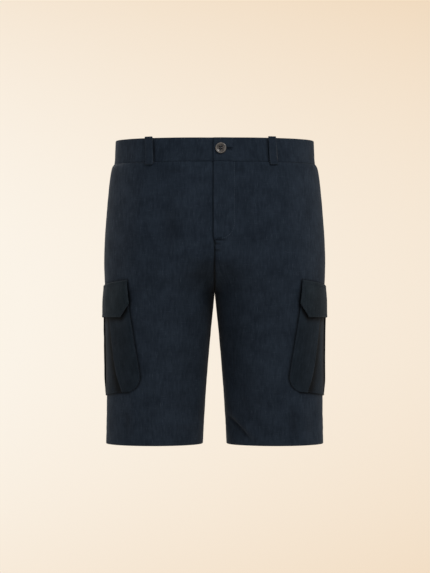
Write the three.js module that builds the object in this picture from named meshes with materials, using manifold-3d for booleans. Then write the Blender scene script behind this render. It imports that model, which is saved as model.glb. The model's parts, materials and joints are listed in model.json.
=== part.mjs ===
// Bermuda shorts with a cargo pocket on each leg, in the hollow shape that they have when worn.
// Millimetres. +Z is up, -Y is the front and +X is the wearer's left. The origin is the middle of the waist,
// halfway up the waistband. Every panel is a thin wall whose sections are worked out from the sizes below.
import * as THREE from "three";
import { mergeVertices } from "three/addons/utils/BufferGeometryUtils.js";
import Module from "manifold-3d";

const wasm = await Module();
wasm.setup();

// Driving sizes of the garment
const OUTSEAM = 505; // waist's top edge to the hem
const BAND_HEIGHT = 39;
const CROTCH_DROP = 254;
const HEM_GAP = 20; // from the middle plane to each leg's inside at the hem
const HEM_GAP_CURVE = 0.35; // 0 widens it evenly from the crotch
const HEM_TURN_UP = 37;
const SIDE_SEAM_Y = 6;
const FRONT_CLEFT_DROP = 194; // where the valley between the legs begins, at the front and at the back
const BACK_CLEFT_DROP = 150;
const CLEFT_CURVE = 1.6;

// Cloth
const CLOTH = 1.4;
const HEM_CLOTH = 2.6;
const BAND_CLOTH = 2.6;
const BAND_EDGE = 2; // height of its rounded top edge
const FLAP_CLOTH = 1.8;
const PATCH_CLOTH = 1.2;
const SHIELD_CLOTH = 1.2;
const SEAM_GAP = 0.3;
const SEAM_HALF = SEAM_GAP / 2;

// Zip, closed, between the left front and the strip behind the fly
const ZIP_TAPE = 0.8;
const ZIP_TAPE_END_X = 17;
const ZIP_CHAIN_WIDTH = 4.2;
const ZIP_CHAIN_HEIGHT = 1.1;
const ZIP_TOP_DROP = 46;
const ZIP_SLIDER_LENGTH = 9;
const ZIP_SLIDER_RISE = 0.2;
const ZIP_END = 6; // above the fly's bottom
const ZIP_STEP = 0.1;

// Strip behind the fly
const SHIELD_FROM_X = -14;
const SHIELD_TO_X = 34;
const SHIELD_BELOW_FLY = 13;
const SHIELD_CORNER = 22;

// Fly, which laps the wearer's left over the right
const FLY_EDGE_X = -2;
const FLY_BOTTOM_DROP = 165;
const FLY_BLEND = 8; // the lap runs out this far above and below the fly's bottom
const UNDER_FRONT_REACH = 8; // how far the right front runs on under the left
const UNDER_BAND_REACH = 34;
const LAP_LIFT = CLOTH + SEAM_GAP;
const LAP_FLAT_X = 15; // the left front comes back down between these
const LAP_END_X = 30;
const UNDER_BAND_RISE_X = 24; // where the right waistband is back at the form's height
const LAP_COLUMNS = [-30, -25, -20, -15, 2.6, 8, 15, 20, 25, 30, 34]; // extra columns of the waistbands, in x

// Sections, from the waist down: drop below the waist's top edge, half width, depth to the front and to the
// back, and where each leg's foremost line lies, as a share of the half width
const SECTIONS = [
  { drop: 0, halfWidth: 165.4, front: 112, back: 112, crest: 0.2 },
  { drop: 20, halfWidth: 166.2, front: 113.5, back: 114.5, crest: 0.21 },
  { drop: 37, halfWidth: 167.4, front: 115, back: 118, crest: 0.22 },
  { drop: 46, halfWidth: 171.8, front: 116.5, back: 121, crest: 0.23 },
  { drop: 62, halfWidth: 174.8, front: 118.5, back: 125, crest: 0.25 },
  { drop: 88, halfWidth: 177.6, front: 120.5, back: 130.5, crest: 0.29 },
  { drop: 128, halfWidth: 181.3, front: 122, back: 137, crest: 0.35 },
  { drop: 168, halfWidth: 183.7, front: 122, back: 140, crest: 0.41 },
  { drop: 202, halfWidth: 184.8, front: 120, back: 138.5, crest: 0.455 },
  { drop: 240, halfWidth: 183.6, front: 115.5, back: 132, crest: 0.49 },
  { drop: 280, halfWidth: 181.9, front: 110, back: 123, crest: 0.5 },
  { drop: 340, halfWidth: 180.7, front: 101, back: 110, crest: 0.5 },
  { drop: 424, halfWidth: 180.2, front: 89, back: 96, crest: 0.5 },
  { drop: 505, halfWidth: 181.2, front: 80, back: 88, crest: 0.5 },
];

// The largest folds: the side that has it (1 is the wearer's left), where its line starts and ends, as a turn
// round the leg (-1 front inseam, 0 side seam, 1 back inseam) and a drop, its half width and its height
const FOLDS = [
  { side: 1, fromTurn: -1.02, fromDrop: 440, toTurn: -0.6, toDrop: 516, halfWidth: 13, height: -2.8 },
  { side: 1, fromTurn: -0.24, fromDrop: 425, toTurn: -0.2, toDrop: 525, halfWidth: 17, height: -2.2 },
  { side: 1, fromTurn: -0.62, fromDrop: 280, toTurn: -0.56, toDrop: 480, halfWidth: 26, height: 2.2 },
  { side: 1, fromTurn: -0.98, fromDrop: 276, toTurn: -0.5, toDrop: 196, halfWidth: 26, height: 1.7 },
  { side: 1, fromTurn: -0.84, fromDrop: 290, toTurn: -0.8, toDrop: 430, halfWidth: 20, height: -2.2 },
  { side: -1, fromTurn: -0.98, fromDrop: 270, toTurn: -0.56, toDrop: 186, halfWidth: 20, height: 2 },
  { side: -1, fromTurn: -0.5, fromDrop: 310, toTurn: -0.55, toDrop: 530, halfWidth: 26, height: 2.2 },
  { side: -1, fromTurn: -0.36, fromDrop: 400, toTurn: -0.34, toDrop: 515, halfWidth: 16, height: 2 },
  { side: -1, fromTurn: -0.78, fromDrop: 320, toTurn: -0.72, toDrop: 480, halfWidth: 22, height: -2 },
  { side: 1, fromTurn: 0.96, fromDrop: 256, toTurn: 0.4, toDrop: 308, halfWidth: 18, height: -3 },
  { side: 1, fromTurn: 0.88, fromDrop: 280, toTurn: 0.45, toDrop: 356, halfWidth: 19, height: 2.4 },
  { side: 1, fromTurn: 0.6, fromDrop: 350, toTurn: 0.56, toDrop: 530, halfWidth: 25, height: 2.4 },
  { side: -1, fromTurn: 0.94, fromDrop: 262, toTurn: 0.38, toDrop: 298, halfWidth: 18, height: -3 },
  { side: -1, fromTurn: 0.86, fromDrop: 288, toTurn: 0.44, toDrop: 370, halfWidth: 20, height: 2.4 },
  { side: -1, fromTurn: 0.64, fromDrop: 365, toTurn: 0.58, toDrop: 530, halfWidth: 26, height: 2.2 },
];

// Cargo pocket, laid out on the leg by its distance forward of the side seam and its drop
const POCKET_CENTRE = 28; // at the flap's top
const POCKET_LEAN = 0.07; // how far the centre moves forward for each millimetre down
const POCKET_HALF_WIDTH = 80;
const POCKET_CORNER = 28;
const POCKET_MOUTH_DROP = 252;
const POCKET_BOTTOM_DROP = 421;
const POCKET_SLOPE = 0.092; // the pocket's front is carried higher than its back by this much per millimetre
const PLEAT_TOP_HALF = 25; // half the opening of the box pleat at the mouth and at the bottom
const PLEAT_BOTTOM_HALF = 40;
const PLEAT_EDGE = 0.8;
const PLEAT_RISE = 1.4;
const PLEAT_RISE_LENGTH = 28;
const PLEAT_MARGIN = 12; // least distance from the pleat to the pocket's edge
const PATCH_GAP = 0.6;
const FLAP_TOP_DROP = 240; // at the pocket's centre
const FLAP_BOTTOM_DROP = 294;
const FLAP_BOTTOM_SLOPE = 0.02;
const FLAP_HALF_WIDTH = 85;
const FLAP_CHAMFER = 22;
const FLAP_FLARE = 5.4;
const FLAP_FLARE_LENGTH = 28;

// Belt loops: the side and face of the waistband that each is on, how far it is from the middle at the top and
// how far it leans outwards for each millimetre down
const LOOP_WIDTH = 12;
const LOOP_CLOTH = 1.5;
const LOOP_TOP = -2.2;
const LOOP_BOTTOM = 44.5;
const LOOP_FOOT = 7;
const LOOP_EDGE = 1; // its edges are bevelled by this much
const LOOP_STAND = 2.4; // the slot between the loop and the waistband
const LOOPS = [
  { name: "belt_loop_front_left", side: 1, face: -1, x: 93, slant: 0.026 },
  { name: "belt_loop_front_right", side: -1, face: -1, x: 107, slant: -0.07 },
  { name: "belt_loop_back_left", side: 1, face: 1, x: 100, slant: 0.03 },
  { name: "belt_loop_back_right", side: -1, face: 1, x: 98, slant: 0.01 },
  { name: "belt_loop_centre_back", side: 1, face: 1, x: 0, slant: 0 },
];

// Waist button, 30 line
const BUTTON_DIAMETER = 18;
const BUTTON_THICKNESS = 3.4;
const BUTTON_PROFILE = [ // from the back's middle round the rim to the front's middle
  { inset: 9, up: 0 },
  { inset: 1.4, up: 0 },
  { inset: 0.3, up: 0.9 },
  { inset: 0, up: 1.7 },
  { inset: 0.4, up: 3 },
  { inset: 1.4, up: 3.4 },
  { inset: 2.6, up: 2.9 },
  { inset: 4, up: 2.3 },
  { inset: 9, up: 2.2 },
];
const BUTTON_X = 10;
const BUTTON_DROP = 17.6;
const BUTTON_HOLE_RADIUS = 1;
const BUTTON_HOLE_SPACING = 3.6;
const BUTTON_SEAT = 0.4;
const SHANK_RADIUS = 1.1;
const BUTTONHOLE_LENGTH = 20;
const BUTTONHOLE_WIDTH = 3;

// Colours, roughness
const FINISHES = {
  cloth: { color: 0x1d2530, roughness: 0.92, metalness: 0 },
  flap: { color: 0x1b222b, roughness: 0.92, metalness: 0 },
  zip: { color: 0x23272e, roughness: 0.6, metalness: 0 },
  button: { color: 0x3a332f, roughness: 0.35, metalness: 0 },
};

const STEPS_ROUND = 18; // columns of each panel
const TURN_LENGTH = 260; // about how far one unit of turn is, for the width of a fold
const WAIST_Z = BAND_HEIGHT / 2;

const clamp = THREE.MathUtils.clamp;
const mix = THREE.MathUtils.lerp;
const ease = (value, from, to) => THREE.MathUtils.smoothstep(value, from, to);

// A column of the section table at a drop, as a smooth curve through its rows
function sized(column, drop) {
  const last = SECTIONS.length - 1;
  const at = clamp(drop, SECTIONS[0].drop, SECTIONS[last].drop);
  const i = clamp(SECTIONS.findIndex((row) => row.drop >= at) - 1, 0, last - 1);
  const slope = (k) => {
    const a = SECTIONS[Math.max(k - 1, 0)];
    const b = SECTIONS[Math.min(k + 1, last)];
    return (b[column] - a[column]) / (b.drop - a.drop);
  };
  const a = SECTIONS[i];
  const b = SECTIONS[i + 1];
  const span = b.drop - a.drop;
  const t = (at - a.drop) / span;
  const rise = t * t * (3 - 2 * t);
  return (
    mix(a[column], b[column], rise) +
    span * slope(i) * t * (1 - t) * (1 - t) -
    span * slope(i + 1) * t * t * (1 - t)
  );
}

// Distance from the middle plane to a leg's inside
function legGap(drop) {
  const down = clamp((drop - CROTCH_DROP) / (OUTSEAM - CROTCH_DROP), 0, 1);
  return HEM_GAP * down * (1 + HEM_GAP_CURVE * (1 - down));
}

// Where the front panels' and waistbands' inner edges run, in each one's own side's x
function frontEdge(side, drop) {
  const gap = Math.max(legGap(drop), SEAM_HALF);
  const high = FLY_BOTTOM_DROP - FLY_BLEND;
  const low = FLY_BOTTOM_DROP + FLY_BLEND;
  if (side > 0) return mix(FLY_EDGE_X, gap, ease(drop, high, low));
  const under = drop < BAND_HEIGHT ? UNDER_BAND_REACH : UNDER_FRONT_REACH;
  return mix(-under, gap, ease(drop, high - 3 * FLY_BLEND, high));
}

// A point of the cloth's outside in plan, on the wearer's left. turn is -1 at the front's inner edge, 0 at the
// side seam and 1 at the back's inner edge. Below the crotch the section is a leg's oval. Above it the part of
// the oval between the legs is cut off where the seam between the legs runs, and drawn out to the middle.
function plan(side, turn, drop) {
  const back = turn > 0;
  const facing = back ? 1 : -1;
  const halfWidth = sized("halfWidth", drop);
  const depth = sized(back ? "back" : "front", drop) - facing * SIDE_SEAM_Y;
  const crest = sized("crest", drop) * halfWidth + legGap(drop) / 2;
  const edge = back ? Math.max(legGap(drop), SEAM_HALF) : frontEdge(side, drop);
  const cleft = back ? BACK_CLEFT_DROP : FRONT_CLEFT_DROP;
  const opened = 1 - clamp((CROTCH_DROP - drop) / (CROTCH_DROP - cleft), 0, 1) ** CLEFT_CURVE;
  const innerTurn = Math.asin(opened);
  const outer = (Math.PI / 2) * Math.hypot(halfWidth - crest, depth) * Math.SQRT1_2;
  const inner = Math.hypot(crest, depth * (1 - Math.cos(innerTurn)));
  const split = outer / (outer + inner);
  const along = Math.abs(turn);
  if (along <= split) {
    const angle = ((along / split) * Math.PI) / 2;
    return [crest + (halfWidth - crest) * Math.cos(angle), SIDE_SEAM_Y + facing * depth * Math.sin(angle)];
  }
  const share = (along - split) / (1 - split);
  const angle = share * innerTurn;
  const reach = opened > 1e-6 ? Math.sin(angle) / opened : share;
  return [crest - (crest - edge) * reach, SIDE_SEAM_Y + facing * depth * Math.cos(angle)];
}

// How far the folds and the fly's lap lift the cloth at a point
function foldHeight(side, turn, drop) {
  let height = 0;
  for (const fold of FOLDS) {
    if (fold.side !== side) continue;
    const along = new THREE.Vector2((fold.toTurn - fold.fromTurn) * TURN_LENGTH, fold.toDrop - fold.fromDrop);
    const from = new THREE.Vector2((turn - fold.fromTurn) * TURN_LENGTH, drop - fold.fromDrop);
    const share = from.dot(along) / along.lengthSq();
    if (share <= 0 || share >= 1) continue;
    const away = Math.abs(from.cross(along)) / along.length();
    height += fold.height * Math.sin(Math.PI * share) ** 2 * Math.exp(-((away / fold.halfWidth) ** 2));
  }
  return height;
}

function lapHeight(side, x, drop) {
  if (side < 0) return 0;
  const down = ease(drop, FLY_BOTTOM_DROP + FLY_BLEND, FLY_BOTTOM_DROP + 4 * FLY_BLEND);
  return LAP_LIFT * (1 - ease(x, LAP_FLAT_X, LAP_END_X)) * (1 - down);
}

// The point of the bare form, with no folds, on the wearer's left
function formPoint(side, turn, drop) {
  const [x, y] = plan(side, turn, drop);
  return new THREE.Vector3(x, y, WAIST_Z - drop);
}

// A point that lies a given height outside the cloth's outer face
function raised(side, turn, drop, height) {
  const turnStep = 0.004;
  const dropStep = 0.6;
  const low = clamp(turn - turnStep, -1, 1);
  const high = clamp(turn + turnStep, -1, 1);
  const across = formPoint(side, high, drop).sub(formPoint(side, low, drop));
  const down = formPoint(side, turn, drop + dropStep).sub(formPoint(side, turn, drop - dropStep));
  const point = formPoint(side, turn, drop);
  const normal = down.cross(across).normalize();
  return point.addScaledVector(normal, height + foldHeight(side, turn, drop));
}

// The turn at which the cloth has run a distance forward of the side seam, or back if it is negative
function turnAt(side, drop, forward) {
  const step = 0.02;
  const way = -Math.sign(forward) || 1;
  let run = 0;
  let last = new THREE.Vector2(...plan(side, 0, drop));
  for (let turn = step; turn <= 1; turn += step) {
    const next = new THREE.Vector2(...plan(side, way * turn, drop));
    const length = next.distanceTo(last);
    const left = Math.abs(forward) - run;
    if (length >= left) return way * (turn - step + (step * left) / length);
    run += length;
    last = next;
  }
  return way;
}

// The turn at which the waistband is this far from the middle
function turnAtX(side, face, drop, x) {
  let low = 0;
  let high = 1;
  for (let i = 0; i < 30; i += 1) {
    const middle = (low + high) / 2;
    if (plan(side, face * middle, drop)[0] > x) low = middle;
    else high = middle;
  }
  return (face * (low + high)) / 2;
}

// A closed wall between two grids of points, which are rows of columns, turned so that its faces point out.
// side -1 mirrors it to the wearer's right.
function wall(outer, inner, side = 1) {
  const rows = outer.length;
  const columns = outer[0].length;
  const points = [...outer.flat(), ...inner.flat()];
  const at = (layer, i, j) => layer * rows * columns + i * columns + j;
  const faces = [];
  const quad = (a, b, c, d) => faces.push(a, b, c, a, c, d);
  for (let i = 0; i < rows - 1; i += 1) {
    for (let j = 0; j < columns - 1; j += 1) {
      quad(at(0, i, j), at(0, i + 1, j), at(0, i + 1, j + 1), at(0, i, j + 1));
      quad(at(1, i, j), at(1, i, j + 1), at(1, i + 1, j + 1), at(1, i + 1, j));
    }
  }
  const rim = [];
  for (let j = 0; j < columns - 1; j += 1) rim.push([0, j]);
  for (let i = 0; i < rows - 1; i += 1) rim.push([i, columns - 1]);
  for (let j = columns - 1; j > 0; j -= 1) rim.push([rows - 1, j]);
  for (let i = rows - 1; i > 0; i -= 1) rim.push([i, 0]);
  rim.forEach(([i, j], k) => {
    const [m, n] = rim[(k + 1) % rim.length];
    quad(at(0, i, j), at(0, m, n), at(1, m, n), at(1, i, j));
  });
  return solid(points, faces, side);
}

// A bar with a closed section, given as rings of points, and capped at both ends
function bar(rings, side = 1) {
  const count = rings[0].length;
  const faces = [];
  for (let r = 0; r < rings.length - 1; r += 1) {
    for (let k = 0; k < count; k += 1) {
      const next = (k + 1) % count;
      const a = r * count;
      const b = (r + 1) * count;
      faces.push(a + k, b + k, b + next, a + k, b + next, a + next);
    }
  }
  const cap = THREE.ShapeUtils.triangulateShape(rings.section, []);
  const end = (rings.length - 1) * count;
  for (const [a, b, c] of cap) faces.push(a, b, c, end + a, end + c, end + b);
  return solid(rings.flat(), faces, side);
}

// Geometry from points and faces, mirrored for the wearer's right, with its faces turned outwards
function solid(points, faces, side) {
  const placed = points.map((p) => new THREE.Vector3(side * p.x, p.y, p.z));
  let volume = 0;
  for (let i = 0; i < faces.length; i += 3) {
    const [a, b, c] = faces.slice(i, i + 3).map((k) => placed[k]);
    volume += a.dot(b.clone().cross(c));
  }
  const index = [...faces];
  if (volume < 0) {
    for (let i = 0; i < index.length; i += 3) [index[i + 1], index[i + 2]] = [index[i + 2], index[i + 1]];
  }
  return new THREE.BufferGeometry().setFromPoints(placed).setIndex(index);
}

// How far a round corner still reaches out, at a distance past where it starts
const roundCorner = (radius, past) => Math.sqrt(Math.max(0, radius ** 2 - Math.max(0, past) ** 2));

const roundly = (t) => Math.sin((t * Math.PI) / 2);
const spaced = (from, to, count, bend = (t) => t) =>
  Array.from({ length: count + 1 }, (_, k) => mix(from, to, bend(k / count)));

// Rows of the panels: close where the hips spring from the waistband and where the legs part
const hemFold = OUTSEAM - HEM_TURN_UP;
const hipRows = spaced(BAND_HEIGHT + SEAM_HALF, 62, 3);
const seatRows = spaced(62, CROTCH_DROP, 16, roundly);
const legRows = spaced(CROTCH_DROP, hemFold - 1, 9, (t) => t ** 1.25);
const panelDrops = [...hipRows, ...seatRows.slice(1), ...legRows.slice(1), hemFold, hemFold + 18, OUTSEAM];

// One of the four panels. face -1 is a front and 1 a back.
function panel(side, face) {
  const turns = spaced(0, face, STEPS_ROUND);
  const made = (depthOf) =>
    panelDrops.map((drop) =>
      turns.map((turn, j) => {
        const x = plan(side, turn, drop)[0];
        const lift = face < 0 ? lapHeight(side, x, drop) : 0;
        const point = raised(side, turn, drop, lift - depthOf(drop));
        if (j === 0) point.y += face * SEAM_HALF;
        if (j === STEPS_ROUND && drop >= CROTCH_DROP) point.y += face * SEAM_HALF;
        if (drop > FLY_BOTTOM_DROP + FLY_BLEND || face > 0) point.x = Math.max(point.x, SEAM_HALF);
        return point;
      }),
    );
  const thickness = (drop) => (drop < hemFold ? CLOTH : HEM_CLOTH);
  return wall(made(() => 0), made(thickness), side);
}

// Half of the waistband, from the fly to the middle of the back: a flat tube with rounded edges
function waistband(side) {
  const start = frontEdge(side, 0);
  const fine = LAP_COLUMNS.filter((x) => x > start + 1).map((x) => turnAtX(side, -1, BAND_HEIGHT / 2, x));
  const even = spaced(-1, 1, 2 * STEPS_ROUND).filter((turn) => turn > Math.max(...fine) + 0.03);
  const turns = [-1, ...fine, ...even];
  const low = BAND_HEIGHT - SEAM_HALF;
  const section = [
    { depth: 0, drop: low },
    { depth: 0, drop: low / 2 },
    { depth: 0, drop: BAND_EDGE },
    { depth: BAND_CLOTH / 4, drop: BAND_EDGE / 5 },
    { depth: BAND_CLOTH / 2, drop: 0 },
    { depth: (3 * BAND_CLOTH) / 4, drop: BAND_EDGE / 5 },
    { depth: BAND_CLOTH, drop: BAND_EDGE },
    { depth: BAND_CLOTH, drop: low / 2 },
    { depth: BAND_CLOTH, drop: low },
  ];
  const rings = turns.map((turn) =>
    section.map(({ depth, drop }) => {
      const x = plan(side, turn, BAND_HEIGHT / 2)[0];
      const point = raised(side, turn, drop, bandHeight(side, turn, x) - depth);
      if (turn === 1) point.x = Math.max(point.x, SEAM_HALF);
      return point;
    }),
  );
  rings.section = section.map(({ depth, drop }) => new THREE.Vector2(depth, drop));
  return bar(rings, side);
}

// The right waistband dips under the left one's lap. Both laps are at the front only.
function bandHeight(side, turn, x) {
  if (turn > 0) return 0;
  if (side > 0) return lapHeight(side, x, 0);
  const under = lapHeight(1, -x, 0) - BAND_CLOTH - SEAM_GAP;
  return under * (1 - ease(x, -FLY_EDGE_X + SEAM_GAP, UNDER_BAND_RISE_X));
}

// A point near the middle of the front, where the form is flat across
function flatFront(x, drop, height) {
  const at = (d) => new THREE.Vector3(x, -sized("front", d), WAIST_Z - d);
  const down = at(drop + 1).sub(at(drop - 1));
  const normal = down.cross(new THREE.Vector3(1, 0, 0)).normalize();
  if (normal.y > 0) normal.negate();
  return at(drop).addScaledVector(normal, height);
}

// The strip behind the fly, which the right front carries and which closes the gap when the fly is open
function flyShield() {
  const top = BAND_HEIGHT + SEAM_HALF;
  const bottom = FLY_BOTTOM_DROP + SHIELD_BELOW_FLY;
  const straight = bottom - SHIELD_CORNER;
  const drops = [...spaced(top, straight, 5), ...spaced(straight, bottom, 4, roundly).slice(1)];
  const row = (drop, height) => {
    const reach = SHIELD_TO_X - SHIELD_CORNER + roundCorner(SHIELD_CORNER, drop - straight);
    return spaced(SHIELD_FROM_X, reach, 6).map((x) => flatFront(x, drop, height));
  };
  const grid = (height) => drops.map((drop) => row(drop, height));
  const outside = -CLOTH - SEAM_GAP;
  return wall(grid(outside), grid(outside - SHIELD_CLOTH));
}

// The closed zip that lies on that strip, beside the right front's edge: the tape, its chain and the slider
function flyZip() {
  const start = UNDER_FRONT_REACH + 2 * SEAM_GAP;
  const chain = start + 0.6;
  const chainEnd = chain + ZIP_CHAIN_WIDTH;
  const low = -CLOTH;
  const columns = [start, chain - ZIP_STEP, chain, chainEnd, chainEnd + ZIP_STEP, ZIP_TAPE_END_X];
  const slider = ZIP_TOP_DROP + ZIP_SLIDER_LENGTH;
  const chainDrops = spaced(slider + ZIP_STEP, FLY_BOTTOM_DROP - ZIP_END, 6);
  const drops = [ZIP_TOP_DROP, slider, ...chainDrops];
  const thickness = (drop, x) => {
    if (x < chain || x > chainEnd) return ZIP_TAPE;
    return drop > slider ? ZIP_CHAIN_HEIGHT : ZIP_CHAIN_HEIGHT + ZIP_SLIDER_RISE;
  };
  const grid = (depthOf) => drops.map((drop) => columns.map((x) => flatFront(x, drop, low + depthOf(drop, x))));
  return wall(grid(thickness), grid(() => 0));
}

// Where a place on the pocket lies on the leg
function onPocket(side, across, drop, height) {
  const centre = POCKET_CENTRE + POCKET_LEAN * (drop - FLAP_TOP_DROP);
  return raised(side, turnAt(side, drop, centre + across), drop, height);
}

// The patch of the pocket, with rounded lower corners and an open box pleat down its middle
function cargoPocket(side) {
  const straight = POCKET_BOTTOM_DROP - POCKET_CORNER;
  const round = spaced(straight, POCKET_BOTTOM_DROP, 5, roundly);
  const drops = [...spaced(POCKET_MOUTH_DROP, straight, 9), ...round.slice(1)];
  const columns = (drop) => {
    const half = POCKET_HALF_WIDTH - POCKET_CORNER + roundCorner(POCKET_CORNER, drop - straight);
    const down = (drop - POCKET_MOUTH_DROP) / (POCKET_BOTTOM_DROP - POCKET_MOUTH_DROP);
    const pleat = Math.min(mix(PLEAT_TOP_HALF, PLEAT_BOTTOM_HALF, down ** 3), half - PLEAT_MARGIN);
    const begun = Math.min(1, (drop - POCKET_MOUTH_DROP) / PLEAT_RISE_LENGTH);
    const rise = PLEAT_RISE * begun * (1 - 0.75 * ease(drop, straight, POCKET_BOTTOM_DROP));
    const raisedPart = spaced(half, pleat + PLEAT_EDGE, 5).map((across) => {
      const toSeam = (half - across) / (half - pleat);
      return { across, height: rise * Math.sqrt(toSeam) };
    });
    const floor = spaced(pleat - PLEAT_EDGE, 0, 3).map((across) => ({ across, height: 0 }));
    const right = [...raisedPart, ...floor];
    const left = right.slice(0, -1).reverse().map(({ across, height }) => ({ across: -across, height }));
    return [...right, ...left];
  };
  const place = (drop, base) => ({ across, height }) =>
    onPocket(side, across, drop - POCKET_SLOPE * across, base + height);
  const grid = (base) => drops.map((drop) => columns(drop).map(place(drop, base)));
  return wall(grid(PATCH_GAP + PATCH_CLOTH), grid(PATCH_GAP), side);
}

// The flap, with both lower corners cut off, which stands away from the pocket towards its lower edge
function cargoFlap(side) {
  const straight = FLAP_HALF_WIDTH - FLAP_CHAMFER;
  const half = [...spaced(FLAP_HALF_WIDTH, straight, 2), ...spaced(straight, 0, 5).slice(1)];
  const columns = [...half, ...half.slice(0, -1).reverse().map((across) => -across)];
  const rows = spaced(0, 1, 7, (t) => t ** 1.2);
  const grid = (inward) =>
    rows.map((row) =>
      columns.map((across) => {
        const top = FLAP_TOP_DROP - POCKET_SLOPE * across;
        const cutOff = Math.max(0, Math.abs(across) - straight);
        const drop = mix(top, FLAP_BOTTOM_DROP - FLAP_BOTTOM_SLOPE * across - cutOff, row);
        const flare = FLAP_FLARE * (1 - Math.exp(-(drop - top) / FLAP_FLARE_LENGTH));
        return onPocket(side, across, drop, SEAM_GAP + FLAP_CLOTH + flare - inward);
      }),
    );
  return wall(grid(0), grid(FLAP_CLOTH), side);
}

// A belt loop: a strip with a folded foot at each end and a slot behind its middle
function beltLoop({ side, face, x, slant }) {
  const low = SEAM_GAP;
  const slot = SEAM_GAP + LOOP_STAND;
  const top = slot + LOOP_CLOTH;
  const section = [
    { height: top - LOOP_EDGE, drop: LOOP_TOP },
    { height: top, drop: LOOP_TOP + LOOP_EDGE },
    { height: top, drop: LOOP_BOTTOM - LOOP_EDGE },
    { height: top - LOOP_EDGE, drop: LOOP_BOTTOM },
    { height: low, drop: LOOP_BOTTOM },
    { height: low, drop: LOOP_BOTTOM - LOOP_FOOT + LOOP_EDGE },
    { height: slot, drop: LOOP_BOTTOM - LOOP_FOOT },
    { height: slot, drop: LOOP_TOP + LOOP_FOOT + LOOP_EDGE },
    { height: low, drop: LOOP_TOP + LOOP_FOOT - LOOP_EDGE },
    { height: low, drop: BAND_EDGE },
    { height: slot - LOOP_EDGE, drop: LOOP_TOP },
  ];
  const rings = spaced(-LOOP_WIDTH / 2, LOOP_WIDTH / 2, 2).map((across) =>
    section.map(({ height, drop }) => {
      const turn = turnAtX(side, face, BAND_HEIGHT / 2, Math.abs(x + across + slant * drop));
      const point = raised(side, turn, drop, height);
      if (x === 0) point.x = across;
      return point;
    }),
  );
  rings.section = section.map(({ height, drop }) => new THREE.Vector2(height, drop));
  return bar(rings, side);
}

// A solid for cutting and joining, from a closed geometry
function manifoldOf(geometry) {
  const plain = geometry.clone();
  plain.deleteAttribute("normal");
  plain.deleteAttribute("uv");
  const merged = mergeVertices(plain, 1e-4);
  return new wasm.Manifold(
    new wasm.Mesh({
      numProp: 3,
      vertProperties: new Float32Array(merged.getAttribute("position").array),
      triVerts: new Uint32Array(merged.index.array),
    }),
  );
}

function geometryOf(manifold) {
  const mesh = manifold.getMesh();
  return new THREE.BufferGeometry()
    .setAttribute("position", new THREE.BufferAttribute(mesh.vertProperties, 3))
    .setIndex(new THREE.BufferAttribute(mesh.triVerts, 1));
}

// The frame of the button: its middle on the left waistband's outer face, with its axis out of the cloth
const buttonSeat = flatFront(BUTTON_X, BUTTON_DROP, LAP_LIFT);
const buttonOut = flatFront(BUTTON_X, BUTTON_DROP, LAP_LIFT + 1).sub(buttonSeat).normalize();
const buttonPlace = new THREE.Matrix4().compose(
  buttonSeat,
  new THREE.Quaternion().setFromUnitVectors(new THREE.Vector3(0, 1, 0), buttonOut),
  new THREE.Vector3(1, 1, 1),
);

// A dished button with four holes, on a thread shank that goes through the buttonhole
function waistButton() {
  const radius = BUTTON_DIAMETER / 2;
  const profile = BUTTON_PROFILE.map(({ inset, up }) => new THREE.Vector2(radius - inset, BUTTON_SEAT + up));
  let made = manifoldOf(new THREE.LatheGeometry(profile, 32));
  const hole = new THREE.CylinderGeometry(BUTTON_HOLE_RADIUS, BUTTON_HOLE_RADIUS, 3 * BUTTON_THICKNESS, 10);
  const offset = BUTTON_HOLE_SPACING / 2;
  for (const [x, z] of [[-1, -1], [-1, 1], [1, -1], [1, 1]]) {
    made = made.subtract(manifoldOf(hole.clone().translate(x * offset, 0, z * offset)));
  }
  const shankLength = BAND_CLOTH + 2 * BUTTON_SEAT; // from the waistband's inner face into the button
  const shank = new THREE.CylinderGeometry(SHANK_RADIUS, SHANK_RADIUS, shankLength, 10);
  made = made.add(manifoldOf(shank.translate(0, shankLength / 2 - BAND_CLOTH, 0)));
  return geometryOf(made).applyMatrix4(buttonPlace);
}

// The left waistband with its buttonhole, which starts at the shank and runs back from the fly's edge
function leftWaistband() {
  const start = -BUTTONHOLE_WIDTH / 2;
  const cutter = new THREE.BoxGeometry(BUTTONHOLE_LENGTH, 12, BUTTONHOLE_WIDTH);
  cutter.translate(start + BUTTONHOLE_LENGTH / 2, 0, 0).applyMatrix4(buttonPlace);
  return geometryOf(manifoldOf(waistband(1)).subtract(manifoldOf(cutter)));
}

const shorts = new THREE.Group();
function piece(name, geometry, finish) {
  const mesh = new THREE.Mesh(geometry, new THREE.MeshStandardMaterial(FINISHES[finish]));
  mesh.name = name;
  shorts.add(mesh);
}

for (const [word, side] of [["left", 1], ["right", -1]]) {
  piece(`front_${word}`, panel(side, -1), "cloth");
  piece(`back_${word}`, panel(side, 1), "cloth");
  piece(`waistband_${word}`, side > 0 ? leftWaistband() : waistband(side), "cloth");
  piece(`cargo_pocket_${word}`, cargoPocket(side), "flap");
  piece(`cargo_flap_${word}`, cargoFlap(side), "flap");
}
for (const loop of LOOPS) piece(loop.name, beltLoop(loop), "cloth");
piece("fly_shield", flyShield(), "cloth");
piece("fly_zip", flyZip(), "zip");
piece("waist_button", waistButton(), "button");

export default shorts;
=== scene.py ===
"""The looks of the bermuda shorts: dark linen, cargo pockets, fly, waistband, button and sewing.

Each cloth piece follows the same form as its CAD solid. Sizes are in millimetres up to the mesh, which is in
metres. +Z is up, -Y is the front and +X is the wearer's left, and a piece for the wearer's right is mirrored.
"""

import json
import logging
import math
from dataclasses import dataclass
from enum import Enum, IntEnum

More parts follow.
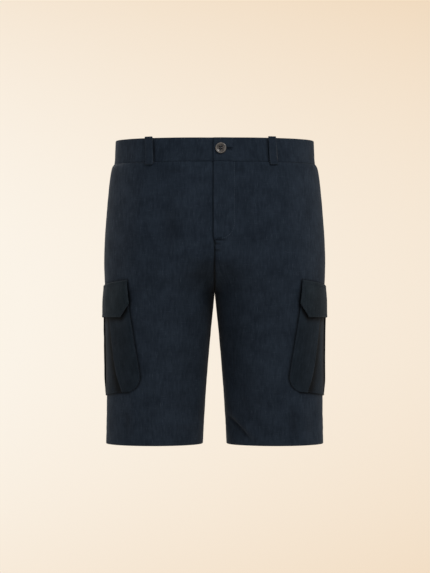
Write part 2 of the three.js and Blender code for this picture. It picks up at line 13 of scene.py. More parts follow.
import bpy
import numpy as np
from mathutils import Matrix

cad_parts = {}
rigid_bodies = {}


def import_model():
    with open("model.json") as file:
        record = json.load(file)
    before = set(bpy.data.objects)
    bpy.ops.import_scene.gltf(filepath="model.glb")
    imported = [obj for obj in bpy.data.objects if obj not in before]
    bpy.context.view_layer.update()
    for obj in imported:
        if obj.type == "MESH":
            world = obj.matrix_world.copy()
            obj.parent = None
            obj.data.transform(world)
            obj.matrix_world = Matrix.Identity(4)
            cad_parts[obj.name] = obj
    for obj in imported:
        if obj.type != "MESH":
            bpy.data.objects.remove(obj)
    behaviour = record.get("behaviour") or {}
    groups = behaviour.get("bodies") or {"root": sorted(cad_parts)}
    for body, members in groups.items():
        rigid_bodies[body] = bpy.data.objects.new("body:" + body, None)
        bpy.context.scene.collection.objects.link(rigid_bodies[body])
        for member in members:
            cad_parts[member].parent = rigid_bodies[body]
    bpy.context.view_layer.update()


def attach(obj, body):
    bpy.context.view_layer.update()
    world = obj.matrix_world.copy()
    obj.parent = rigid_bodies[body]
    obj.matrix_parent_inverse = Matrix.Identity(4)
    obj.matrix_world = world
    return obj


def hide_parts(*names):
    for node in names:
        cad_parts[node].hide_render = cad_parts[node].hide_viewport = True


Array = np.ndarray
Pair = tuple[float, float]
Triple = tuple[float, float, float]
Colour = Triple

MM = 0.001
WAIST_Z = 19.5
FAR = 99.0

log = logging.getLogger("shorts")


class Side(IntEnum):
    """The wearer's side, as the sign of its x."""

    LEFT = 1
    RIGHT = -1


class Face(IntEnum):
    """The garment's face, as the sign of its y."""

    FRONT = -1
    BACK = 1


LEFT, RIGHT = Side
FRONT, BACK = Face


class Column(Enum):
    """A column of the section table."""

    HALF_WIDTH = 1
    FRONT = 2
    BACK = 3
    CREST = 4


SECTIONS = np.array([
    (0, 165.4, 112, 112, 0.2),
    (20, 166.2, 113.5, 114.5, 0.21),
    (37, 167.4, 115, 118, 0.22),
    (46, 171.8, 116.5, 121, 0.23),
    (62, 174.8, 118.5, 125, 0.25),
    (88, 177.6, 120.5, 130.5, 0.29),
    (128, 181.3, 122, 137, 0.35),
    (168, 183.7, 122, 140, 0.41),
    (202, 184.8, 120, 138.5, 0.455),
    (240, 183.6, 115.5, 132, 0.49),
    (280, 181.9, 110, 123, 0.5),
    (340, 180.7, 101, 110, 0.5),
    (424, 180.2, 89, 96, 0.5),
    (505, 181.2, 80, 88, 0.5),
])


@dataclass(frozen=True)
class Fold:
    """A broad fold of a panel: its line, by turn and drop, half its width and its height."""

    side: Side
    start: Pair
    end: Pair
    half_width: float
    height: float


FOLDS = (
    Fold(LEFT, (-1.02, 440), (-0.6, 516), 13, -2.8),
    Fold(LEFT, (-0.24, 425), (-0.2, 525), 17, -2.2),
    Fold(LEFT, (-0.62, 280), (-0.56, 480), 26, 2.2),
    Fold(LEFT, (-0.98, 276), (-0.5, 196), 26, 1.7),
    Fold(LEFT, (-0.84, 290), (-0.8, 430), 20, -2.2),
    Fold(RIGHT, (-0.98, 270), (-0.56, 186), 20, 2),
    Fold(RIGHT, (-0.5, 310), (-0.55, 530), 26, 2.2),
    Fold(RIGHT, (-0.36, 400), (-0.34, 515), 16, 2),
    Fold(RIGHT, (-0.78, 320), (-0.72, 480), 22, -2),
    Fold(LEFT, (0.96, 256), (0.4, 308), 18, -3),
    Fold(LEFT, (0.88, 280), (0.45, 356), 19, 2.4),
    Fold(LEFT, (0.6, 350), (0.56, 530), 25, 2.4),
    Fold(RIGHT, (0.94, 262), (0.38, 298), 18, -3),
    Fold(RIGHT, (0.86, 288), (0.44, 370), 20, 2.4),
    Fold(RIGHT, (0.64, 365), (0.58, 530), 26, 2.2),
)


@dataclass(frozen=True)
class Crease:
    """A small crease, placed by its distance from the middle and its drop on one face of one side.

    tilt moves the slope to one side of the line, as on a crease that has been pressed over.
    """

    side: Side
    face: Face
    start: Pair
    end: Pair
    half_width: float
    height: float
    tilt: float = 0.0

    def height_at(self, x: Array, drop: Array) -> Array:
        """How far the crease lifts the cloth.

        Args:
            x: distances from the middle.
            drop: drops below the waist's top edge.

        Returns:
            The heights, in millimetres.
        """
        along = np.subtract(self.end, self.start)
        length = float(np.hypot(*along))
        dx, dd = x - self.start[0], drop - self.start[1]
        share = np.clip((dx * along[0] + dd * along[1]) / length**2, 0, 1)
        away = (dx * along[1] - dd * along[0]) / length / self.half_width
        body = np.exp(-(away**2)) * (1 + self.tilt * away)
        return self.height * np.sin(np.pi * share) ** 1.4 * body


CREASES = (
    # under the bar tack and down the seam between the legs
    Crease(LEFT, FRONT, (-9, 166.9), (22, 167.6), 1.5, -2.0),
    Crease(LEFT, FRONT, (-9, 172.6), (13, 174.2), 1.8, -2.1),
    Crease(LEFT, FRONT, (-6, 183.0), (13, 185.4), 2.2, -1.6),
    Crease(RIGHT, FRONT, (12, 184), (20, 234), 15, -1.1),
    Crease(LEFT, FRONT, (0, 196), (34, 206), 5, 0.7),
    Crease(LEFT, FRONT, (0, 214), (60, 236), 7, -0.35, 0.3),
    Crease(RIGHT, FRONT, (0, 176), (26, 182), 4, -0.6),
    Crease(RIGHT, FRONT, (0, 205), (70, 178), 9, 0.9),
    Crease(RIGHT, FRONT, (0, 230), (62, 222), 8, -1.0, -0.3),
    Crease(LEFT, FRONT, (4, 262), (58, 292), 8, 0.9),
    Crease(RIGHT, FRONT, (4, 268), (52, 300), 9, 0.8),
    # below the waistband
    Crease(LEFT, FRONT, (20, 53), (54, 54), 2.8, -0.7, 0.4),
    Crease(LEFT, FRONT, (60, 47), (120, 52), 5, -0.5),
    Crease(RIGHT, FRONT, (40, 56), (96, 50), 6, -0.5),
    Crease(LEFT, FRONT, (112, 60), (122, 170), 10, 0.8),
    Crease(RIGHT, FRONT, (118, 56), (130, 190), 12, 0.9),
    Crease(RIGHT, FRONT, (72, 84), (66, 210), 14, -0.8),
    Crease(LEFT, FRONT, (62, 90), (70, 200), 13, 0.7),
    # above the hems
    Crease(LEFT, FRONT, (46, 418), (48, 446), 3, -0.6),
    Crease(LEFT, FRONT, (57, 422), (56, 450), 3.4, 0.6),
    Crease(LEFT, FRONT, (70, 420), (73, 446), 3, -0.6),
    Crease(LEFT, FRONT, (15, 453), (62, 499), 3.6, -2.6, 0.7),
    Crease(LEFT, FRONT, (34, 460), (86, 504), 8, 2.0),
    Crease(RIGHT, FRONT, (132, 430), (129, 478), 6, 1.1),
    Crease(RIGHT, FRONT, (146, 440), (141, 500), 6, -0.8),
    Crease(RIGHT, FRONT, (60, 440), (66, 512), 9, 0.9),
    Crease(LEFT, FRONT, (128, 428), (134, 508), 8, -0.9),
    # on the waistband
    Crease(LEFT, FRONT, (99, 14), (126, 15), 1.7, -0.5, 0.5),
    Crease(LEFT, FRONT, (122, 14), (132, 22), 1.8, -0.45),
    Crease(RIGHT, FRONT, (44, 29), (53, 32), 1.8, -0.5),
    Crease(RIGHT, FRONT, (12, 8), (60, 20), 6, 0.35),
    # behind, where the seat ends and the legs begin
    Crease(LEFT, BACK, (4, 236), (84, 258), 8, -1.2, 0.3),
    Crease(RIGHT, BACK, (4, 232), (76, 250), 7, -1.1, 0.3),
    Crease(LEFT, BACK, (8, 262), (70, 300), 9, 1.0),
    Crease(RIGHT, BACK, (10, 268), (80, 296), 9, 1.0),
    Crease(LEFT, BACK, (96, 60), (104, 170), 12, 0.8),
    Crease(RIGHT, BACK, (110, 66), (106, 190), 13, 0.8),
    Crease(LEFT, BACK, (20, 56), (60, 50), 4, -0.5),
    Crease(RIGHT, BACK, (24, 50), (76, 55), 5, -0.5),
    Crease(LEFT, BACK, (120, 420), (116, 506), 8, 1.0),
    Crease(RIGHT, BACK, (70, 430), (74, 510), 9, -0.9),
    Crease(RIGHT, BACK, (136, 400), (130, 500), 9, 0.9),
)


def clamped(value: Array | float, low: float = 0.0, high: float = 1.0) -> Array:
    """The value, kept between two limits."""
    return np.clip(value, low, high)


def ease(value: Array | float, start: float, end: float) -> Array:
    """A smooth step from 0 at start to 1 at end."""
    t = clamped((np.asarray(value, float) - start) / (end - start))
    return t * t * (3 - 2 * t)


def mix(a: Array | float, b: Array | float, share: Array | float) -> Array:
    """The value that lies a share of the way from a to b."""
    return a + (b - a) * share


def matched(a: Array | float, b: Array | float) -> tuple[Array, ...]:
    """Two sets of numbers, brought to one shape."""
    return tuple(np.broadcast_arrays(np.asarray(a, float), np.asarray(b, float)))


def line_share(dx: Array, dd: Array, along: Array) -> Array:
    """The share of a line that lies beside each place, which is given from the line's start."""
    return clamped((dx * along[0] + dd * along[1]) / (along @ along))


def near(distance: Array | float, width: float) -> Array:
    """A bell that is 1 at no distance and has faded by about two widths."""
    return np.exp(-((np.asarray(distance, float) / width) ** 2))


def unevenness(u: Array, v: Array, size: float, seed: int) -> Array:
    """Smooth noise over a surface, the same on each run.

    Args:
        u: places across, in millimetres.
        v: places down, in millimetres.
        size: distance between neighbouring lumps.
        seed: picks the pattern.

    Returns:
        Values from about -1 to 1.
    """
    x, y = np.asarray(u, float) / size, np.asarray(v, float) / size
    i, j = np.floor(x).astype(np.int64), np.floor(y).astype(np.int64)
    fx, fy = x - i, y - j
    fx, fy = fx * fx * (3 - 2 * fx), fy * fy * (3 - 2 * fy)

    def corner(a: Array, b: Array) -> Array:
        """A hashed value for a corner of the lattice."""
        n = (a * 374761393 + b * 668265263 + seed * 974711) & 0xFFFFFFFF
        n = ((n ^ (n >> 13)) * 1274126177) & 0xFFFFFFFF
        return ((n ^ (n >> 16)) & 0xFFFF) / 32767.5 - 1

    top = mix(corner(i, j), corner(i + 1, j), fx)
    low = mix(corner(i, j + 1), corner(i + 1, j + 1), fx)
    return mix(top, low, fy)


def normalised(vectors: Array) -> Array:
    """The vectors, each with a length of one."""
    return vectors / np.maximum(np.linalg.norm(vectors, axis=-1, keepdims=True), 1e-12)


@dataclass
class Form:
    """The garment's form, worked out for whole arrays of places at once.

    A place is a turn, which is -1 at the front's inner edge, 0 at the side seam and 1 at the back's inner
    edge, and a drop below the waist's top edge. Points are given for the wearer's left.
    """

    outseam: float = 505.0
    band_height: float = 39.0
    crotch_drop: float = 254.0
    hem_gap: float = 20.0
    hem_gap_curve: float = 0.35
    side_seam_y: float = 6.0
    front_cleft_drop: float = 194.0
    back_cleft_drop: float = 150.0
    cleft_curve: float = 1.6
    seam_half: float = 0.15
    cloth: float = 1.4
    fly_edge_x: float = -2.0
    fly_bottom: float = 165.0
    fly_blend: float = 8.0
    under_front: float = 8.0
    under_band: float = 34.0
    lap_lift: float = 1.7
    lap_flat_x: float = 15.0
    lap_end_x: float = 30.0
    turn_length: float = 260.0
    table_step: float = 2.5

    def __post_init__(self) -> None:
        """Work out the table's slopes and how far the cloth has run at each turn of each row."""
        drops, values = SECTIONS[:, 0], SECTIONS[:, 1:]
        before = np.maximum(np.arange(len(drops)) - 1, 0)
        after = np.minimum(np.arange(len(drops)) + 1, len(drops) - 1)
        self.slopes = (values[after] - values[before]) / (drops[after] - drops[before])[:, None]
        self.row_drops = np.arange(0, self.outseam + self.table_step, self.table_step)
        self.row_turns = np.linspace(-1, 1, 201)
        self.row_runs = np.linspace(-330, 330, 441)
        self.runs: dict[int, Array] = {}
        self.turns: dict[int, Array] = {}
        for side in (LEFT, RIGHT):
            turns, drops = np.meshgrid(self.row_turns, self.row_drops)
            x, y = self.plan(side, turns, drops)
            steps = np.hypot(np.diff(x, axis=1), np.diff(y, axis=1))
            run = np.concatenate([np.zeros((len(steps), 1)), np.cumsum(steps, axis=1)], axis=1)
            run = run[:, [100]] - run
            self.runs[side] = run
            self.turns[side] = np.array([np.interp(-self.row_runs, -row, self.row_turns) for row in run])

    def sized(self, column: Column, drop: Array | float) -> Array:
        """A size of the section at a drop, on a smooth curve through the table.

        Args:
            column: which size.
            drop: drops below the waist's top edge.

        Returns:
            The sizes.
        """
        k = column.value
        drops, values, slopes = SECTIONS[:, 0], SECTIONS[:, k], self.slopes[:, k - 1]
        at = clamped(drop, drops[0], drops[-1])
        i = np.clip(np.searchsorted(drops, at, side="left") - 1, 0, len(drops) - 2)
        span = drops[i + 1] - drops[i]
        t = (at - drops[i]) / span
        eased = mix(values[i], values[i + 1], t * t * (3 - 2 * t))
        return eased + span * t * (1 - t) * (slopes[i] * (1 - t) - slopes[i + 1] * t)

    def leg_gap(self, drop: Array) -> Array:
        """The distance from the middle plane to a leg's inside."""
        down = clamped((drop - self.crotch_drop) / (self.outseam - self.crotch_drop))
        return self.hem_gap * down * (1 + self.hem_gap_curve * (1 - down))

    def front_edge(self, side: Side, drop: Array) -> Array:
        """Where the inner edge of a front or of the waistband runs, in its own side's x."""
        gap = np.maximum(self.leg_gap(drop), self.seam_half)
        high, low = self.fly_bottom - self.fly_blend, self.fly_bottom + self.fly_blend
        if side > 0:
            return mix(self.fly_edge_x, gap, ease(drop, high, low))
        under = np.where(drop < self.band_height, self.under_band, self.under_front)
        return mix(-under, gap, ease(drop, high - 3 * self.fly_blend, high))

    def plan(self, side: Side, turn: Array, drop: Array) -> tuple[Array, Array]:
        """The x and y of places on the bare form.

        Args:
            side: LEFT or RIGHT.
            turn: turns round the leg.
            drop: drops below the waist's top edge.

        Returns:
            The x and the y, each as an array.
        """
        turn, drop = matched(turn, drop)
        back = turn > 0
        facing = np.where(back, 1.0, -1.0)
        half_width = self.sized(Column.HALF_WIDTH, drop)
        depth = np.where(back, self.sized(Column.BACK, drop), self.sized(Column.FRONT, drop))
        depth = depth - facing * self.side_seam_y
        gap = self.leg_gap(drop)
        crest = self.sized(Column.CREST, drop) * half_width + gap / 2
        edge = np.where(back, np.maximum(gap, self.seam_half), self.front_edge(side, drop))
        cleft = np.where(back, self.back_cleft_drop, self.front_cleft_drop)
        closed = clamped((self.crotch_drop - drop) / (self.crotch_drop - cleft))
        opened = 1 - closed**self.cleft_curve
        inner_turn = np.arcsin(clamped(opened))
        outer = math.pi / 2 * np.hypot(half_width - crest, depth) * math.sqrt(0.5)
        inner = np.hypot(crest, depth * (1 - np.cos(inner_turn)))
        split = outer / (outer + inner)
        along = np.abs(turn)
        angle = along / split * math.pi / 2
        share = (along - split) / (1 - split)
        inside = share * inner_turn
        reach = np.where(opened > 1e-6, np.sin(inside) / np.maximum(opened, 1e-6), share)
        outside = along <= split
        x = np.where(outside, crest + (half_width - crest) * np.cos(angle), crest - (crest - edge) * reach)
        y = facing * depth * np.where(outside, np.sin(angle), np.cos(inside)) + self.side_seam_y
        return x, y

    def point(self, side: Side, turn: Array, drop: Array) -> Array:
        """Points of the bare form, with no folds."""
        x, y = self.plan(side, turn, drop)
        return np.stack([x, y, WAIST_Z - np.broadcast_to(drop, x.shape)], axis=-1)

    def outward(self, side: Side, turn: Array, drop: Array) -> Array:
        """The directions that point out of the cloth."""
        low, high = clamped(turn - 0.004, -1, 1), clamped(turn + 0.004, -1, 1)
        across = self.point(side, high, drop) - self.point(side, low, drop)
        down = self.point(side, turn, drop + 0.6) - self.point(side, turn, drop - 0.6)
        return normalised(np.cross(down, across))

    def raised(self, side: Side, turn: Array, drop: Array, height: Array | float) -> Array:
        """Points a given height outside the cloth's outer face, with the broad folds.

        Args:
            side: LEFT or RIGHT.
            turn: turns round the leg.
            drop: drops below the waist's top edge.
            height: heights over the outer face, negative inside it.

        Returns:
            The points, for the wearer's left.
        """
        turn, drop = matched(turn, drop)
        lift = np.broadcast_to(height, turn.shape) + self.folds(side, turn, drop)
        return self.point(side, turn, drop) + self.outward(side, turn, drop) * lift[..., None]

    def folds(self, side: Side, turn: Array, drop: Array) -> Array:
        """How far the broad folds lift the cloth."""
        height = np.zeros(np.shape(turn))
        for fold in FOLDS:
            if fold.side != side:
                continue
            along = np.subtract(fold.end, fold.start) * (self.turn_length, 1)
            dx, dd = (turn - fold.start[0]) * self.turn_length, drop - fold.start[1]
            share = line_share(dx, dd, along)
            away = (dx * along[1] - dd * along[0]) / math.hypot(*along)
            height = height + fold.height * np.sin(np.pi * share) ** 2 * near(away, fold.half_width)
        return height

    def lap(self, side: Side, x: Array, drop: Array) -> Array:
        """How far the left front and waistband are lifted where they lap over the right ones."""
        if side < 0:
            return np.zeros(np.shape(x))
        down = ease(drop, self.fly_bottom + self.fly_blend, self.fly_bottom + 4 * self.fly_blend)
        return self.lap_lift * (1 - ease(x, self.lap_flat_x, self.lap_end_x)) * (1 - down)

    def drape(self, side: Side, turn: Array, drop: Array) -> Array:
        """How far the small creases and the cloth's unevenness lift it."""
        x, _ = self.plan(side, turn, drop)
        run = self.run(side, turn, drop)
        slack = mix(0.45, 1.0, ease(drop, 36, 60))
        height = slack * 0.42 * unevenness(run + 500 * side, 0.62 * drop, 41, 3)
        height = height + slack * 0.17 * unevenness(run + 500 * side, drop, 15, 8)
        return height + self.creased(side, turn, drop, x)

    def creased(self, side: Side, turn: Array, drop: Array, x: Array) -> Array:
        """How far the small creases alone lift the cloth."""
        height = np.zeros(np.shape(turn))
        for crease in CREASES:
            if crease.side == side:
                height = height + np.where(turn * crease.face >= 0, crease.height_at(x, drop), 0)
        return height

    def _table(self, table: Array, columns: Array, at: Array, drop: Array) -> Array:
        """A value of a table at places between its rows and columns."""
        i = clamped(np.asarray(drop, float) / self.table_step, 0, len(self.row_drops) - 1.001)
        j = clamped((at - columns[0]) / (columns[1] - columns[0]), 0, len(columns) - 1.001)
        i0, j0 = np.floor(i).astype(int), np.floor(j).astype(int)
        fi, fj = i - i0, j - j0
        top = mix(table[i0, j0], table[i0, j0 + 1], fj)
        low = mix(table[i0 + 1, j0], table[i0 + 1, j0 + 1], fj)
        return mix(top, low, fi)

    def run(self, side: Side, turn: Array, drop: Array) -> Array:
        """How far the cloth has run forward of the side seam."""
        turn, drop = matched(turn, drop)
        return self._table(self.runs[side], self.row_turns, turn, drop)

    def turn_at(self, side: Side, drop: Array, forward: Array) -> Array:
        """The turn at which the cloth has run a distance forward of the side seam."""
        drop, forward = matched(drop, forward)
        return self._table(self.turns[side], self.row_runs, forward, drop)

    def turn_at_x(self, side: Side, face: Face, drop: Array, x: Array) -> Array:
        """The turn at which the cloth is this far from the middle plane."""
        drop, x = matched(drop, x)
        low, high = np.zeros(x.shape), np.ones(x.shape)
        for _ in range(30):
            middle = (low + high) / 2
            outside = self.plan(side, face * middle, drop)[0] > x
            low, high = np.where(outside, middle, low), np.where(outside, high, middle)
        return face * (low + high) / 2

    def flat_front(self, x: Array, drop: Array, height: Array | float) -> Array:
        """Points near the middle of the front, where the form is flat across."""
        x, drop = matched(x, drop)

        def at(d: Array) -> Array:
            """Points on the outer face."""
            return np.stack([x, -self.sized(Column.FRONT, d), WAIST_Z - d], axis=-1)

        down = at(drop + 1) - at(drop - 1)
        normal = normalised(np.cross(down, (1.0, 0.0, 0.0)))
        normal = np.where(normal[..., [1]] > 0, -normal, normal)
        return at(drop) + normal * np.broadcast_to(height, x.shape)[..., None]


# Meshes


def in_scene(name: str, data: bpy.types.ID) -> bpy.types.Object:
    """A new object for some data, linked to the scene."""
    made = bpy.data.objects.new(name, data)
    bpy.context.collection.objects.link(made)
    return made


def mesh_object(name: str, points: Array, faces: list | Array, uv: Array | None = None,
                edge: Array | None = None, side: Side = LEFT) -> bpy.types.Object:
    """A mesh object in the scene, smooth, with its faces turned outwards.

    Args:
        name: the object's name.
        points: points in millimetres, for the wearer's left.
        faces: each face's points, all turned the same way.
        uv: each point's place on the cloth, in metres.
        edge: how near each point is to a worn edge, up to 1, or its painted shade at the foot of a hollow,
        down to -1 and lower still where two painted shades meet.
        side: RIGHT mirrors the piece.

    Returns:
        The object.
    """
    placed = np.array(points, float) * (side, 1, 1)
    polygons = [list(map(int, f)) for f in faces]
    fan = [(f[0], f[k], f[k + 1]) for f in polygons for k in range(1, len(f) - 1)]
    a, b, c = (placed[column] for column in np.array(fan).T)
    if np.sum(a * np.cross(b, c)) < 0:
        polygons = [f[::-1] for f in polygons]
    mesh = bpy.data.meshes.new(name)
    mesh.from_pydata((placed * MM).tolist(), [], polygons)
    mesh.polygons.foreach_set("use_smooth", np.ones(len(mesh.polygons), bool))
    corners = np.empty(len(mesh.loops), np.int32)
    mesh.loops.foreach_get("vertex_index", corners)
    if uv is not None:
        layer = mesh.uv_layers.new(name="cloth")
        layer.data.foreach_set("uv", np.asarray(uv, float)[corners].astype(np.float32).ravel())
    if edge is not None:
        mesh.attributes.new("edge", "FLOAT", "POINT").data.foreach_set("value", np.asarray(edge, np.float32))
    mesh.update()
    return in_scene(name, mesh)


def sheet_faces(rows: int, columns: int) -> Array:
    """The faces of a closed shell between two grids of points, the outer grid first."""
    count = rows * columns
    index = np.arange(count).reshape(rows, columns)
    front = np.stack([index[:-1, :-1], index[1:, :-1], index[1:, 1:], index[:-1, 1:]], -1).reshape(-1, 4)
    ring = np.concatenate([index[0, :-1], index[:-1, -1], index[-1, :0:-1], index[:0:-1, 0]])
    after = np.roll(ring, -1)
    rim = np.stack([ring, after, after + count, ring + count], -1)
    return np.concatenate([front, front[:, ::-1] + count, rim])


def closed_sheet(name: str, outer: Array, inner: Array, uv: Array, side: Side,
                 edge: Array | None = None) -> bpy.types.Object:
    """A sheet of cloth with rounded edges, between two grids of points.

    Args:
        name: the object's name.
        outer: rows of columns of points on the outer face.
        inner: the same on the inner face.
        uv: each point's place on the cloth, in millimetres.
        side: RIGHT mirrors the piece.
        edge: how near each point is to a worn edge, and below 0 how much painted shade it gets.

    Returns:
        The object.
    """
    rows, columns = outer.shape[:2]
    rim = np.zeros((rows, columns, 1))
    rim[0], rim[-1], rim[:, 0], rim[:, -1] = 1, 1, 1, 1
    sunk = 0.32 * (inner - outer) * rim
    points = np.concatenate([(outer + sunk).reshape(-1, 3), (inner - sunk).reshape(-1, 3)])
    both = np.concatenate([uv.reshape(-1, 2)] * 2) * MM
    worn = None if edge is None else np.concatenate([edge.ravel()] * 2)
    return mesh_object(name, points, sheet_faces(rows, columns), both, worn, side)


def tube(name: str, rings: Array, uv: Array, side: Side = LEFT,
         edge: Array | None = None) -> bpy.types.Object:
    """A bar with a closed section, capped at both ends.

    Args:
        name: the object's name.
        rings: the sections' points, ring after ring.
        uv: each point's place on the cloth, in millimetres.
        side: RIGHT mirrors the piece.
        edge: how near each point is to a worn edge, and below 0 how much painted shade it gets.

    Returns:
        The object.
    """
    count, around = rings.shape[:2]
    index = np.arange(count * around).reshape(count, around)
    after = np.roll(index, -1, axis=1)
    quads = np.stack([index[:-1], index[1:], after[1:], after[:-1]], -1).reshape(-1, 4).tolist()
    quads += [index[0].tolist(), index[-1, ::-1].tolist()]
    worn = None if edge is None else edge.ravel()
    return mesh_object(name, rings.reshape(-1, 3), quads, uv.reshape(-1, 2) * MM, worn, side)


def made_plain(piece: bpy.types.Object) -> None:
    """Put a piece's evaluated result in place of its mesh and take its modifiers away."""
    depsgraph = bpy.context.evaluated_depsgraph_get()
    mesh = bpy.data.meshes.new_from_object(piece.evaluated_get(depsgraph))
    piece.modifiers.clear()
    piece.data = mesh


def cut_from(piece: bpy.types.Object, cutter: bpy.types.Object) -> None:
    """Cut one closed mesh out of another and delete the cutter."""
    cut = piece.modifiers.new("cut", "BOOLEAN")
    cut.object, cut.operation, cut.solver = cutter, "DIFFERENCE", "EXACT"
    made_plain(piece)
    bpy.data.objects.remove(cutter)


def both_ways(right: Array) -> Array:
    """Values from one edge to the middle, and on to the other edge with their signs turned."""
    return np.concatenate([right, -right[-2::-1]])


def spaced(start: float, end: float, step: float) -> Array:
    """Evenly spaced values from start to end, about a step apart."""
    return np.linspace(start, end, max(2, int(round(abs(end - start) / step)) + 1))


# Materials


class Graph:
    """Adds nodes to a tree and joins them."""

    def __init__(self, tree: bpy.types.NodeTree) -> None:
        """Keep the tree that is built."""
        self.tree = tree

    def node(self, kind: str, inputs: dict | None = None, **settings: object) -> bpy.types.Node:
        """Add a node.

        Args:
            kind: the node's type.
            inputs: a value or another node's output for each input, by name or number.
            settings: the node's own properties.

        Returns:
            The node.
        """
        made = self.tree.nodes.new(kind)
        for key, value in settings.items():
            setattr(made, key, value)
        for key, value in (inputs or {}).items():
            if isinstance(value, bpy.types.NodeSocket):
                self.tree.links.new(value, made.inputs[key])
            else:
                made.inputs[key].default_value = value
        return made

    def math(self, operation: str, *values: object) -> bpy.types.NodeSocket:
        """The result of a Math node."""
        return self.node("ShaderNodeMath", dict(enumerate(values)), operation=operation).outputs[0]

    def vector(self, x: object, y: object, z: object) -> bpy.types.NodeSocket:
        """A vector from its three parts."""
        return self.node("ShaderNodeCombineXYZ", {"X": x, "Y": y, "Z": z}).outputs[0]

    def noise(self, vector: object, detail: float = 2.0, roughness: float = 0.5) -> bpy.types.NodeSocket:
        """The factor of a noise texture of scale 1."""
        inputs = {"Vector": vector, "Scale": 1.0, "Detail": detail, "Roughness": roughness}
        return self.node("ShaderNodeTexNoise", inputs).outputs["Fac"]

    def step(self, value: object, low: float, high: float) -> bpy.types.NodeSocket:
        """A smooth step from 0 to 1."""
        inputs = {"Value": value, "From Min": low, "From Max": high}
        return self.node("ShaderNodeMapRange", inputs, interpolation_type="SMOOTHSTEP").outputs[0]

    def blend(self, share: object, a: object, b: object) -> bpy.types.NodeSocket:
        """A colour between two colours."""
        inputs = {0: share, 6: a, 7: b}
        return self.node("ShaderNodeMix", inputs, data_type="RGBA").outputs[2]


def new_group(name: str, inputs: dict[str, float | tuple], outputs: list[str]) -> tuple[Graph, dict, dict]:
    """A shader group with named sockets.

    Args:
        name: the group's name.
        inputs: each input's value, a tuple for a vector.
        outputs: the outputs, which are all values.

    Returns:
        The graph, the group's inputs by name and its output node's inputs.
    """
    tree = bpy.data.node_groups.new(name, "ShaderNodeTree")
    for key, value in inputs.items():
        kind = "NodeSocketVector" if isinstance(value, tuple) else "NodeSocketFloat"
        tree.interface.new_socket(name=key, in_out="INPUT", socket_type=kind).default_value = value
    for key in outputs:
        tree.interface.new_socket(name=key, in_out="OUTPUT", socket_type="NodeSocketFloat")
    graph = Graph(tree)
    start, end = graph.node("NodeGroupInput"), graph.node("NodeGroupOutput")
    return graph, start.outputs, end.inputs


class LinenWeave:
    """The shader group for plain linen: uneven threads both ways, slubs and cloudy tone."""

    def __init__(self) -> None:
        """Build the group once."""
        values = {"Place": (0.0, 0.0, 0.0), "Pitch": 0.0007, "Slub Length": 0.012, "Cloud Size": 0.03,
                  "Seed": 0.0}
        graph, given, result = new_group("linen_weave", values, ["Tone", "Slub", "Height"])
        self.tree = graph.tree
        place = graph.node("ShaderNodeSeparateXYZ", {0: given["Place"]}).outputs
        seed, pitch, slub = given["Seed"], given["Pitch"], given["Slub Length"]
        across, down = (graph.math("DIVIDE", place[k], pitch) for k in (0, 1))
        along_warp, along_weft = graph.math("DIVIDE", place[1], slub), graph.math("DIVIDE", place[0], slub)
        warp = graph.noise(graph.vector(graph.math("MULTIPLY", across, 0.62), along_warp, seed), 2.0, 0.6)
        weft_seed = graph.math("ADD", seed, 13.7)
        weft = graph.noise(graph.vector(along_weft, graph.math("MULTIPLY", down, 0.62), weft_seed), 2.0, 0.6)
        broad_seed = graph.math("ADD", seed, 31.1)
        broad = graph.noise(graph.vector(graph.math("MULTIPLY", across, 0.17),
                                         graph.math("MULTIPLY", along_warp, 0.62), broad_seed), 2.0, 0.55)
        cloud = graph.noise(graph.vector(graph.math("DIVIDE", place[0], given["Cloud Size"]),
                                         graph.math("DIVIDE", place[1], given["Cloud Size"]),
                                         graph.math("ADD", seed, 5.3)), 3.0, 0.55)
        tone = graph.math("MULTIPLY_ADD", warp, 0.18, graph.math("MULTIPLY", weft, 0.15))
        tone = graph.math("MULTIPLY_ADD", broad, 0.3, tone)
        tone = graph.math("MULTIPLY_ADD", cloud, 0.37, tone)
        self.tree.links.new(graph.step(tone, 0.31, 0.69), result["Tone"])
        thick = graph.math("MULTIPLY_ADD", graph.step(weft, 0.64, 0.78), 0.5, graph.step(warp, 0.61, 0.76))
        self.tree.links.new(thick, result["Slub"])
        waves = [graph.math("SINE", graph.math("MULTIPLY", value, math.pi)) for value in (across, down)]
        woven = graph.math("MULTIPLY", *waves)
        height = graph.math("MULTIPLY_ADD", woven, 0.09, graph.math("MULTIPLY", thick, 0.45))
        height = graph.math("MULTIPLY_ADD", graph.math("ADD", warp, weft), 0.25, height)
        self.tree.links.new(height, result["Height"])


class EdgeWearAndPaintedShade:
    """The shader group for rubbed edges and painted shade in hollows: two masks from the mesh's edge
    attribute.
    """

    def __init__(self) -> None:
        """Build the group once."""
        values = {"Edge": 0.0, "Place": (0.0, 0.0, 0.0), "Patch Size": 0.006, "Amount": 0.5}
        graph, given, result = new_group("edge_wear", values, ["Mask", "Shade"])
        self.tree = graph.tree
        size = graph.node("ShaderNodeVectorMath", {0: given["Place"]}, operation="SCALE")
        graph.tree.links.new(graph.math("DIVIDE", 1.0, given["Patch Size"]), size.inputs["Scale"])
        broken = graph.step(graph.noise(size.outputs[0], 3.0, 0.6), 0.3, 0.68)
        rubbed = graph.math("MAXIMUM", given["Edge"], 0.0)
        mask = graph.math("MULTIPLY", graph.math("MULTIPLY", rubbed, broken), given["Amount"])
        self.tree.links.new(mask, result["Mask"])
        # The painted shade: the edge attribute's part below 0, turned positive.
        shade = graph.math("MAXIMUM", graph.math("MULTIPLY", given["Edge"], -1.0), 0.0)
        self.tree.links.new(shade, result["Shade"])


